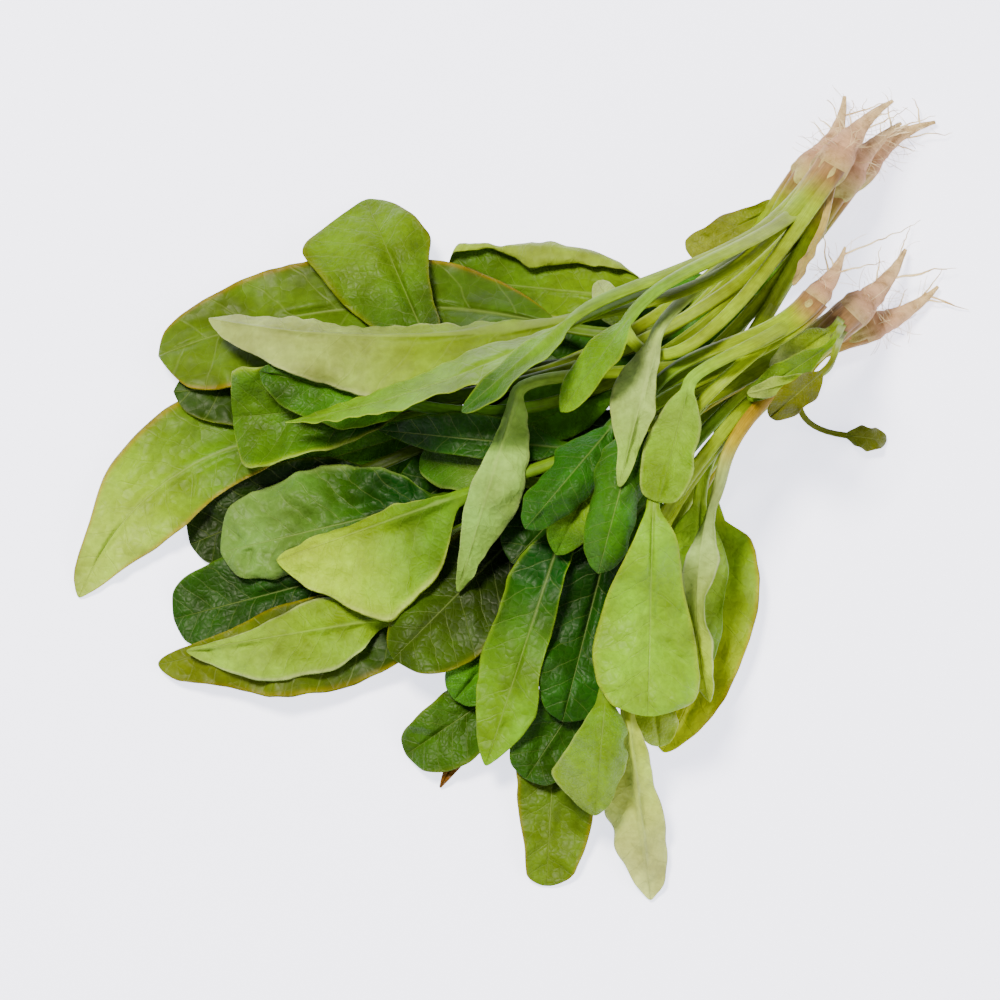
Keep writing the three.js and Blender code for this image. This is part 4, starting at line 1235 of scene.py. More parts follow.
@dataclass(frozen=True)
class SpinachLeafSkin:
    """Fresh spinach blade and stalk: waxy upper face, duller pale underside, netted veins.

    It gives the eye pale side veins that curve toward the margin, a fine net between them,
    blotches of deeper green that also darken the whole leaf to offset the strong lamps, which is
    painted shade, and lengthwise streaks on the stalk.

    Attributes:
        vein: colour that the veins lean to.
        vein_shares: how far they do on the upper face and on the underside.
        roughness: of the waxy upper face and of the underside.
        vein_width: of a side vein, in spaces between two of them.
        vein_sway: how far a side vein strays from its curve, in the same spaces.
        midrib: the midrib's width where the blade begins and nine spaces on.
        net: cells of the fine net to a space, the width of its lines and of the valleys there.
        bold: how strongly the net and the side veins show against the midrib.
        blotches: noise scale of the blotches, 15 mm across.
        mottle: noise scale of the mottle, 2 to 3 mm across.
        grain: noise scale of the grain, 1 mm across, drawn as coarse as it has to be to show.
        depth: height of the bump, in metres.
    """

    vein: str = "#7C8C4C"
    vein_shares: Point2 = (0.28, 0.24)
    roughness: Point2 = (0.46, 0.58)
    vein_width: float = 0.05
    vein_sway: float = 0.35
    midrib: Point2 = (0.12, 0.025)
    net: tuple[float, float, float] = (3.2, 0.06, 0.34)
    bold: Point2 = (0.14, 0.5)
    blotches: float = 65.0
    mottle: float = 420.0
    grain: float = 900.0
    depth: float = 0.0006

    def make(self) -> bpy.types.Material:
        """Builds the material."""
        material, add = new_material("Spinach leaf skin")
        tint = add("ShaderNodeAttribute", {"attribute_name": "Tint"})
        traits = add("ShaderNodeAttribute", {"attribute_name": "Traits"})
        under, stalk, _ = add("ShaderNodeSeparateColor", None, {0: traits}).outputs
        place = add("ShaderNodeTexCoord").outputs["Object"]
        uv = add("ShaderNodeUVMap", {"uv_map": "LeafMap"})
        on_blade = add(MATH, MINUS, {0: 1.0, 1: stalk})
        veins, valleys = self.veins(add, uv, on_blade)
        colour = self.mottled(add, tint, place)
        shares = add(RANGE, None, {0: under, 3: self.vein_shares[0], 4: self.vein_shares[1]})
        share = add(MATH, TIMES, {0: veins, 1: shares})
        colour = add("ShaderNodeMix", TWO_COLOURS, {
            "Factor": share, 6: colour, 7: (*linear(self.vein), 1.0)}).outputs[2]
        colour = self.streaked(add, colour, uv, stalk)
        grain = add(NOISE, None, {"Vector": place, "Scale": self.grain, "Detail": 2.0})
        rough = add(RANGE, None, {0: under, 3: self.roughness[0], 4: self.roughness[1]})
        scatter = add(MATH, TIMES_PLUS, {0: grain, 1: 0.2, 2: -0.1})
        rough = add(MATH, PLUS, {0: rough, 1: scatter})
        # The veins lie in valleys on the upper face and stand out on the underside.
        facing = add(RANGE, None, {0: under, 3: -1.0, 4: 1.0})
        ridges = add(MATH, TIMES, {0: veins, 1: 0.6})
        height = add(MATH, TIMES_PLUS, {0: valleys, 1: 0.22, 2: ridges})
        height = add(MATH, TIMES, {0: height, 1: facing})
        pores = add(MATH, TIMES, {0: grain, 1: 0.12})
        height = add(MATH, PLUS, {0: height, 1: pores})
        bump = add("ShaderNodeBump", None,
                   {"Height": height, "Strength": 0.65, "Distance": self.depth})
        skin = add(SKIN, None, {
            "Base Color": colour, "Roughness": rough, "Normal": bump, "IOR": 1.42,
            "Specular IOR Level": 0.16, "Sheen Weight": 0.01, "Sheen Roughness": 0.5})
        add("ShaderNodeOutputMaterial", None, {0: skin})
        return material

    def veins(self, add: Adder, uv: bpy.types.Node,
              on_blade: bpy.types.Node) -> tuple[bpy.types.Node, bpy.types.Node]:
        """Midrib, side veins and net, and the valleys that the net lies in.

        Args:
            add: adds a node to the material.
            uv: the leaf map.
            on_blade: 1 on the blade and 0 on the stalk.

        Returns:
            How strongly a vein shows at each place, and how deep a valley is.
        """
        split = add("ShaderNodeSeparateXYZ", None, {0: uv}).outputs
        u = add(MATH, MINUS, {0: split[0], 1: MAP_START})
        v = add(MATH, MINUS, {0: split[1], 1: MAP_START})
        reach = add(MATH, {"operation": "ABSOLUTE"}, {0: u})
        on_left = add(MATH, {"operation": "GREATER_THAN"}, {0: u, 1: 0.0})
        stagger = add(MATH, TIMES, {0: on_left, 1: VEIN_STAGGER})
        noise = add(NOISE, {"noise_dimensions": "2D"}, {"Vector": uv, "Scale": 1.1, "Detail": 1.0})
        centred = add(MATH, MINUS, {0: noise, 1: 0.5})
        sway = add(MATH, TIMES, {0: centred, 1: self.vein_sway})
        squared = add(MATH, {"operation": "POWER"}, {0: reach, 1: 2.0})
        phase = add(MATH, TIMES_PLUS, {0: reach, 1: -VEIN_SLOPE, 2: v})
        for part in (add(MATH, TIMES, {0: squared, 1: VEIN_CURVE}), stagger, sway):
            phase = add(MATH, PLUS, {0: phase, 1: part})
        gap = add(MATH, {"operation": "PINGPONG"}, {0: phase, 1: 0.5})
        narrowing = add(RANGE, None, {0: v, 1: 0.0, 2: 9.0, 3: self.midrib[0], 4: self.midrib[1]})
        cells, line_width, valley_width = self.net
        edge = add("ShaderNodeTexVoronoi",
                   {"voronoi_dimensions": "2D", "feature": "DISTANCE_TO_EDGE"},
                   {"Vector": uv, "Scale": cells}).outputs["Distance"]
        # Each is 1 on its line and falls softly to 0 at its width.
        side, midrib, net, valleys = (
            add(RANGE, SOFT_STEP, {0: distance, 1: 0.0, 2: width, 3: 1.0, 4: 0.0})
            for distance, width in ((gap, self.vein_width), (reach, narrowing),
                                    (edge, line_width), (edge, valley_width)))
        net = add(MATH, TIMES, {0: net, 1: self.bold[0]})
        side = add(MATH, TIMES, {0: side, 1: self.bold[1]})
        veins = add(MATH, LARGER, {0: midrib, 1: net})
        veins = add(MATH, LARGER, {0: veins, 1: side})
        veins = add(MATH, TIMES, {0: veins, 1: on_blade})
        return veins, add(MATH, TIMES, {0: valleys, 1: on_blade})

    def mottled(self, add: Adder, tint: bpy.types.Node,
                place: bpy.types.NodeSocket) -> bpy.types.Node:
        """The tint with blotches and a mottle, a little off in hue; the blotches also darken every
        leaf to about two fifths of its tint, painted shade that offsets the strong lamps.
        """
        wide = add(NOISE, None, {"Vector": place, "Scale": self.blotches, "Detail": 2.0})
        fine = add(NOISE, None, {"Vector": place, "Scale": self.mottle, "Detail": 2.0})
        # The blotches scale the tint between 0.12 and 0.68: besides the blotches, this paints shade
        # over every leaf to offset the strong lamps.
        blotches_and_shade = add(MATH, TIMES_PLUS, {0: wide, 1: 0.56, 2: 0.12})
        mottle = add(MATH, TIMES_PLUS, {0: fine, 1: 0.6, 2: 0.7})
        value = add(MATH, TIMES, {0: blotches_and_shade, 1: mottle})
        hue = add(MATH, TIMES_PLUS, {0: wide, 1: 0.03, 2: 0.485})
        return add("ShaderNodeHueSaturation", None,
                   {"Hue": hue, "Saturation": 1.3, "Value": value, "Color": tint})

    @staticmethod
    def streaked(add: Adder, colour: bpy.types.NodeSocket, uv: bpy.types.Node,
                 stalk: bpy.types.NodeSocket) -> bpy.types.NodeSocket:
        """The colour with lengthwise streaks, under a millimetre wide, on the stalk alone."""
        stretched = add("ShaderNodeMapping", None, {"Vector": uv, "Scale": (22.0, 0.5, 1.0)})
        noise = add(NOISE, {"noise_dimensions": "2D"},
                    {"Vector": stretched, "Scale": 1.0, "Detail": 2.0})
        value = add(MATH, TIMES_PLUS, {0: noise, 1: 0.9, 2: 0.55})
        bright = add("ShaderNodeHueSaturation", None, {"Value": value, "Color": colour})
        return add("ShaderNodeMix", TWO_COLOURS,
                   {"Factor": stalk, 6: colour, 7: bright}).outputs[2]


@dataclass(frozen=True)
class RootSkin:
    """Raw root skin: thin, dry and wrinkled across, pinkish at the crown and tan below.

    It gives the eye bands of brown soil in the wrinkles over a dull pinkish tan.

    Attributes:
        soil: colour of the soil that clings to it.
        roughness: of the dry skin.
        blotches: noise scale of the patches, 5 mm across.
        wrinkles: how closely the wrinkles follow one another along the root.
        depth: height of the bump, in metres.
    """

    soil: str = "#6B4A1A"
    roughness: float = 0.78
    blotches: float = 190.0
    wrinkles: float = 60.0
    depth: float = 0.0008

    def make(self) -> bpy.types.Material:
        """Builds the material."""
        material, add = new_material("Spinach root skin")
        tint = add("ShaderNodeAttribute", {"attribute_name": "Tint"})
        traits = add("ShaderNodeAttribute", {"attribute_name": "Traits"})
        along = add("ShaderNodeSeparateColor", None, {0: traits})
        place = add("ShaderNodeTexCoord").outputs["Object"]
        patch = add(NOISE, None, {"Vector": place, "Scale": self.blotches, "Detail": 4.0,
                                  "Roughness": 0.65})
        along = add(MATH, TIMES, {0: along, 1: self.wrinkles})
        wrinkle = add(NOISE, {"noise_dimensions": "1D"}, {"W": along, "Detail": 3.0})
        halves = [add(MATH, TIMES, {0: noise, 1: 0.5}) for noise in (wrinkle, patch)]
        bands = add(MATH, PLUS, dict(enumerate(halves)))
        share = add(RANGE, SOFT_STEP, {0: bands, 1: 0.46, 2: 0.62, 3: 0.0, 4: 0.75})
        colour = add("ShaderNodeMix", TWO_COLOURS, {
            "Factor": share, 6: tint, 7: (*linear(self.soil), 1.0)}).outputs[2]
        bump = add("ShaderNodeBump", None,
                   {"Height": bands, "Strength": 0.7, "Distance": self.depth})
        skin = add(SKIN, None, {"Base Color": colour, "Roughness": self.roughness,
                                "Normal": bump, "IOR": 1.45, "Specular IOR Level": 0.25})
        add("ShaderNodeOutputMaterial", None, {0: skin})
        return material


@dataclass(frozen=True)
class RootHairSkin:
    """Rootlet skin: thin pale fibre, dull, with darker tan patches of clinging soil.

    Attributes:
        pale: colour of the bare fibre.
        soil: colour of the patches.
        roughness: of the dry fibre.
        patches: noise scale of the patches, 7 mm across.
    """

    pale: str = "#E3CFA4"
    soil: str = "#A5814C"
    roughness: float = 0.7
    patches: float = 150.0

    def make(self) -> bpy.types.Material:
        """Builds the material."""
        material, add = new_material("Spinach rootlet fibre")
        place = add("ShaderNodeTexCoord").outputs["Object"]
        patch = add(NOISE, None, {"Vector": place, "Scale": self.patches, "Detail": 3.0})
        share = add(RANGE, SOFT_STEP, {0: patch, 1: 0.42, 2: 0.68, 3: 0.0, 4: 0.8})
        colour = add("ShaderNodeMix", TWO_COLOURS, {
            "Factor": share, 6: (*linear(self.pale), 1.0),
            7: (*linear(self.soil), 1.0)}).outputs[2]
        skin = add(SKIN, None, {"Base Color": colour, "Roughness": self.roughness,
                                "IOR": 1.45, "Specular IOR Level": 0.3})
        add("ShaderNodeOutputMaterial", None, {0: skin})
        return material


@dataclass(frozen=True)
class MattPaint:
    """Matt studio paint: even and pale, with no gloss to catch the lamps.

    Attributes:
        colour: of the paint and of its glow.
        glow: strength of an even glow that takes the shadows' weight off it.
    """

    colour: str = "#E6E8FF"
    glow: float = 2.42

    def make(self) -> bpy.types.Material:
        """Builds the material."""
        material, add = new_material("Matt studio paint")
        colour = (*linear(self.colour), 1.0)
        paint = add(SKIN, None, {
            "Base Color": colour, "Roughness": 0.95, "Specular IOR Level": 0.0,
            "Emission Color": colour, "Emission Strength": self.glow})
        add("ShaderNodeOutputMaterial", None, {0: paint})
        return material


# -------------------- meshes
def add_object(name: str, data: bpy.types.ID) -> bpy.types.Object:
    """A new object at the origin, linked to the scene."""
    item = bpy.data.objects.new(name, data)
    bpy.context.scene.collection.objects.link(item)
    return item


def mesh_object(name: str, skin: Skin, material: bpy.types.Material) -> bpy.types.Object:
    """Turns a skin in mm into an object at the origin, in metres.

    Args:
        name: the piece's name.
        skin: its mesh and what the vertices carry.
        material: its finish.

    Returns:
        The new object, linked to the scene.
    """
    mesh = bpy.data.meshes.new(name)
    mesh.from_pydata((skin.places * METRES).tolist(), [], skin.faces)
    mesh.polygons.foreach_set("use_smooth", np.ones(len(mesh.polygons), bool))
    opaque = np.column_stack([skin.tint, np.ones(len(skin.tint))])
    for label, values in (("Tint", opaque), ("Traits", skin.traits)):
        layer = mesh.attributes.new(label, "FLOAT_COLOR", "POINT")
        layer.data.foreach_set("color", values.astype(np.float32).ravel())
    layer = mesh.uv_layers.new(name="LeafMap")
    corner = np.zeros(len(mesh.loops), np.int32)
    mesh.loops.foreach_get("vertex_index", corner)
    layer.data.foreach_set("uv", skin.uv[corner].astype(np.float32).ravel())
    mesh.materials.append(material)
    mesh.update()
    mesh.validate()
    return add_object(name, mesh)


# -------------------- crown and root
@dataclass
class Crown:
    """The short stem where the stalks meet: ribbed lengthwise, pinkish, closed at both ends.

    Attributes:
        axes: of its plant.
        girth: its size against the usual.
        ribs: how many run round it, one for each stalk.
        seed: picks its unevenness.
        sides: points round it.
        rings: rings along it.
        rib: height of a rib, as a part of the radius.
        unevenness: the same for its lumps.
        shoulder: where it begins to close at the stalks' end, and over what length, mm.
        colours: at the root's end and at the stalks' end.
    """

    axes: Axes
    girth: float
    ribs: int
    seed: int
    sides: int = 40
    rings: int = 26
    rib: float = 0.07
    unevenness: float = 0.05
    shoulder: Point2 = (5.0, 5.6)
    colours: tuple[str, str] = ("#B88C6C", "#B4B468")

    def coarse(self) -> Array:
        """Rings of eight points, as the crown is packed."""
        line = [self.axes.centre + self.axes.ahead * x * self.girth for x, _ in CROWN_PROFILE]
        radii = np.array([r for _, r in CROWN_PROFILE]) * self.girth
        return round_rings(np.array(line), radii, CROWN_SIDES)

    def fine(self) -> tuple[Array, Array]:
        """Rings as they are seen, and how far along each point lies, 0 at the root's end."""
        xs, radii = zip(*CROWN_PROFILE)
        along = np.linspace(0, 1, self.rings)
        x = xs[0] + (xs[-1] - xs[0]) * along
        start, length = self.shoulder
        closing = 1 - np.clip((x - start) / length, 0, 1) ** 2
        radius = np.interp(x, xs, radii) * np.sqrt(np.clip(closing, 0.02, 1))
        turn = turns(self.sides)
        grown = smooth((along - 0.1) / 0.5)[:, None]
        ribs = 1 + self.rib * np.cos(self.ribs * turn)[None] * grown
        noise = soft_noise(np.cos(turn)[None] * 2 + along[:, None] * 3 + 9,
                           np.sin(turn)[None] * 2 + along[:, None] * 5 + 9, self.seed)
        line = self.axes.centre + self.axes.ahead * x[:, None] * self.girth
        radius = radius[:, None] * ribs * (1 + self.unevenness * noise) * self.girth
        rings = round_rings(line, radius, self.sides)
        return rings, along[:, None].repeat(self.sides, 1)


@dataclass
class Taproot:
    """The taproot, with a few rootlets: tapers behind the crown, bends aside and down.

    Attributes:
        plant: the plant that it feeds.
        seed: picks its unevenness and its rootlets.
        sides: points round it.
        rings: rings along it.
        overlap: how far it runs on into the crown, as a part of its length.
        crease: height and spacing of its creases: part of the radius, mm.
        lump: the same of its lumps.
        colours: at the crown and at the tip.
    """

    plant: PlantShape
    seed: int
    sides: int = 28
    rings: int = 60
    overlap: float = 0.16
    crease: Point2 = (0.06, 1.6)
    lump: Point2 = (0.1, 7.0)
    colours: tuple[str, str] = ("#C49A7A", "#D8BC88")

    def point(self, part: Array | float) -> Array:
        """A point of its centre line; part is 0 at the crown and 1 at the tip."""
        axes = Axes.of(self.plant)
        length, bend = self.plant.root
        part = np.asarray(part, float)[..., None]
        behind = ROOT_START * self.plant.girth - length * part
        out = axes.centre + axes.ahead * behind + axes.aside * bend * part**2
        out[..., 2] -= ROOT_DROP * part[..., 0] ** 2
        return out

    def coarse(self) -> tuple[Array, list[Array]]:
        """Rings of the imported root, and the centre lines of its rootlets."""
        parts, radii = zip(*ROOT_PROFILE)
        radii = np.array(radii) * self.plant.girth
        root = round_rings(self.point(np.array(parts)), radii, CROWN_SIDES)
        axes, random = Axes.of(self.plant), RepeatableRandom(self.seed)
        lines = []
        for i in range(ROOTLETS_PER_ROOT):
            start = self.point(0.15 + 0.7 * random.next())
            sign = 1 if i % 2 else -1
            length = 9 + 13 * random.next()
            sweep = 0.4 + 0.9 * random.next()
            curl = (random.next() - 0.5) * 9
            line = []
            for part in (0.0, 0.5, 1.0):
                point = start + axes.aside * sign * length * part * 0.7
                point = point + axes.ahead * (-length * sweep * part + curl * part * part)
                point[2] -= 2.4 * part * part
                line.append(point)
            lines.append(np.array(line))
        return root, lines

    def fine(self) -> tuple[Array, Array]:
        """Rings as they are seen, and how far along each point lies."""
        parts, radii = zip(*ROOT_PROFILE)
        along = np.linspace(-self.overlap, 1, self.rings)
        radius = np.interp(along, parts, radii)
        turn = turns(self.sides)
        along_mm = along[:, None] * self.plant.root[0]
        crease = soft_noise(along_mm / self.crease[1] + np.sin(turn)[None] * 0.8 + 7,
                            np.cos(turn)[None] * 0.9 + 7, self.seed)
        lump = soft_noise(along_mm / self.lump[1] + np.cos(turn)[None] + 3,
                          np.sin(turn)[None] + 3, self.seed + 5)
        uneven = 1 + self.crease[0] * crease + self.lump[0] * lump
        radius = radius[:, None] * uneven * self.plant.girth
        rings = round_rings(self.point(along), radius, self.sides)
        return rings, along[:, None].repeat(self.sides, 1)


def round_skin(rings: Array, along: Array, colours: tuple[str, str]) -> Skin:
    """A closed skin round a ring body, its colour running from one end to the other.

    Args:
        rings: its rings, in mm.
        along: how far along each point lies, 0 to 1.
        colours: sRGB hex colour at 0 and at 1.

    Returns:
        The skin, with an end cap of triangles at each end.
    """
    count, sides = rings.shape[:2]
    part = along.reshape(-1, 1)
    mix = smooth(part)
    near, far = (np.array(linear(colour)) for colour in colours)
    tint = near * (1 - mix) + far * mix
    traits = np.column_stack([part, part, part, np.ones_like(part)])
    uv = np.column_stack([np.tile(np.arange(sides) / sides, count), part])
    return Skin(rings.reshape(-1, 3), round_faces(count, sides), tint, traits, uv)


# -------------------- rootlets and root hairs
class Grower:
    """A Geometry Nodes tree, built once, that makes a piece for every plant."""

    title: str
    sizes: dict[str, float]

    def __init__(self) -> None:
        """Builds the tree: sizes, a seed and a finish come in, a plain dressed mesh goes out."""
        self.tree = bpy.data.node_groups.new(self.title, "GeometryNodeTree")
        sockets = self.tree.interface
        sockets.new_socket("Geometry", in_out="INPUT", socket_type="NodeSocketGeometry")
        kinds = {**dict.fromkeys(self.sizes, "Float"), "Seed": "Int", "Finish": "Material"}
        self.inputs = {}
        for label, kind in kinds.items():
            socket = sockets.new_socket(label, in_out="INPUT", socket_type="NodeSocket" + kind)
            self.inputs[label] = socket.identifier
        sockets.new_socket("Geometry", in_out="OUTPUT", socket_type="NodeSocketGeometry")
        add = partial(add_node, self.tree)
        given = add("NodeGroupInput").outputs
        real = add("GeometryNodeRealizeInstances", None, {0: self.grown(add, given)})
        dressed = add("GeometryNodeSetMaterial", None,
                      {"Geometry": real, "Material": given["Finish"]})
        add("NodeGroupOutput", None, {0: dressed})

    def grown(self, add: Adder, given: bpy.types.NodeOutputs) -> bpy.types.Node:
        """Adds the nodes that grow the piece.

        Args:
            add: adds a node to the tree.
            given: the tree's inputs.

        Returns:
            The last of the nodes.
        """
        raise NotImplementedError

    def run(self, source: bpy.types.Mesh, seed: int, finish: bpy.types.Material,
            name: str) -> bpy.types.Object:
        """Runs the tree on a mesh and keeps its result as a plain mesh, above the table.

        Args:
            source: the mesh that the tree starts from.
            seed: picks what is random.
            finish: the piece's material.
            name: the piece's name.

        Returns:
            The new piece.
        """
        carrier = add_object(name + "_source", source)
        modifier = carrier.modifiers.new("grow", "NODES")
        modifier.node_group = self.tree
        for label, value in {**self.sizes, "Seed": seed, "Finish": finish}.items():
            modifier[self.inputs[label]] = value
        graph = bpy.context.evaluated_depsgraph_get()
        mesh = bpy.data.meshes.new_from_object(carrier.evaluated_get(graph))
        mesh.name = name
        places = np.empty(3 * len(mesh.vertices), np.float32)
        mesh.vertices.foreach_get("co", places)
        places[2::3] = np.maximum(places[2::3], 0.0)
        mesh.vertices.foreach_set("co", places)
        carrier.modifiers.remove(modifier)
        bpy.data.objects.remove(carrier)
        return add_object(name, mesh)


class RootletTubes(Grower):
    """Grows thin tapering tubes, a little bent, along lines, for rootlets; sizes in metres."""

    title = "Rootlet tubes"
    sizes = {"Radius": 0.00045, "Wander": 0.005}

    def grown(self, add: Adder, given: bpy.types.NodeOutputs) -> bpy.types.Node:
        """Adds the nodes that turn lines into tubes, as Grower.grown says."""
        curve = add("GeometryNodeMeshToCurve", None, {0: given["Geometry"]})
        fine = add("GeometryNodeResampleCurve", None, {"Curve": curve, "Count": 22})
        factor = add("GeometryNodeSplineParameter").outputs["Factor"]
        noise = add(NOISE, {"noise_dimensions": "4D"},
                    {"Scale": 160.0, "Detail": 1.0, "W": given["Seed"]})
        centred = add("ShaderNodeVectorMath", MINUS,
                      {0: noise.outputs["Color"], 1: (0.5, 0.5, 0.5)})
        reach = add(MATH, TIMES, {0: given["Wander"], 1: factor})
        offset = add("ShaderNodeVectorMath", {"operation": "SCALE"}, {0: centred, "Scale": reach})
        moved = add("GeometryNodeSetPosition", None, {"Geometry": fine, "Offset": offset})
        thinner = add(MATH, TIMES_PLUS, {0: factor, 1: -0.8, 2: 1.0})
        radius = add(MATH, TIMES, {0: thinner, 1: given["Radius"]})
        sized = add("GeometryNodeSetCurveRadius", None, {"Curve": moved, "Radius": radius})
        ring = add("GeometryNodeCurvePrimitiveCircle", None, {"Resolution": 7, "Radius": 1.0})
        tube = add("GeometryNodeCurveToMesh", None,
                   {"Curve": sized, "Profile Curve": ring, "Fill Caps": True})
        if "Scale" in tube.inputs:
            radius = add("GeometryNodeInputRadius")
            self.tree.links.new(radius.outputs[0], tube.inputs["Scale"])
        return add("GeometryNodeSetShadeSmooth", None, {"Geometry": tube})

    def grow(self, lines: Sequence[Array], seed: int, finish: bpy.types.Material,
             name: str) -> bpy.types.Object:
        """Makes the tubes along lines given in mm.

        Args:
            lines: centre lines.
            seed: picks their small bends.
            finish: their material.
            name: the piece's name.

        Returns:
            The piece.
        """
        mesh = bpy.data.meshes.new(name + "_lines")
        edges, at = [], 0
        for line in lines:
            edges += [(at + k, at + k + 1) for k in range(len(line) - 1)]
            at += len(line)
        mesh.from_pydata((np.vstack(lines) * METRES).tolist(), edges, [])
        return self.run(mesh, seed, finish, name)


class RootHairs(Grower):
    """Grows fine bent hairs all over a root; sizes in metres and in hairs a square metre."""

    title = "Root hairs"
    sizes = {"Density": 90000.0, "Length": 0.009, "Radius": 0.011}

    def grown(self, add: Adder, given: bpy.types.NodeOutputs) -> bpy.types.Node:
        """Adds the nodes that set hairs, a unit long until they are scaled, on a skin."""
        spots = add("GeometryNodeDistributePointsOnFaces", None, {
            "Mesh": given["Geometry"], "Density": given["Density"],
            "Seed": given["Seed"]}).outputs
        bow = add("GeometryNodeCurveQuadraticBezier", None, {
            "Resolution": 5, "Start": (0.0, 0.0, 0.0), "Middle": (0.18, 0.0, 0.55),
            "End": (0.65, 0.1, 0.8)})
        ring = add("GeometryNodeCurvePrimitiveCircle", None,
                   {"Resolution": 3, "Radius": given["Radius"]})
        hair = add("GeometryNodeCurveToMesh", None,
                   {"Curve": bow, "Profile Curve": ring, "Fill Caps": True})
        spin = add("FunctionNodeRandomValue", {"data_type": "FLOAT"},
                   {2: 0.0, 3: 6.283, "Seed": given["Seed"]})
        turn = add("FunctionNodeAxisAngleToRotation", None,
                   {0: (0.0, 0.0, 1.0), 1: spin.outputs[1]})
        both = add("FunctionNodeRotateRotation", {"rotation_space": "LOCAL"},
                   {0: spots["Rotation"], 1: turn})
        other_seed = add(MATH, PLUS, {0: given["Seed"], 1: 7.0})
        size = add("FunctionNodeRandomValue", {"data_type": "FLOAT"},
                   {2: 0.35, 3: 1.0, "Seed": other_seed})
        scale = add(MATH, TIMES, {0: size.outputs[1], 1: given["Length"]})
        return add("GeometryNodeInstanceOnPoints", None, {
            "Points": spots["Points"], "Instance": hair, "Rotation": both, "Scale": scale})

    def grow(self, root: bpy.types.Object, seed: int, finish: bpy.types.Material,
             name: str) -> bpy.types.Object:
        """Makes the hairs over a root's piece; the rest is as for run."""
        return self.run(root.data.copy(), seed, finish, name)


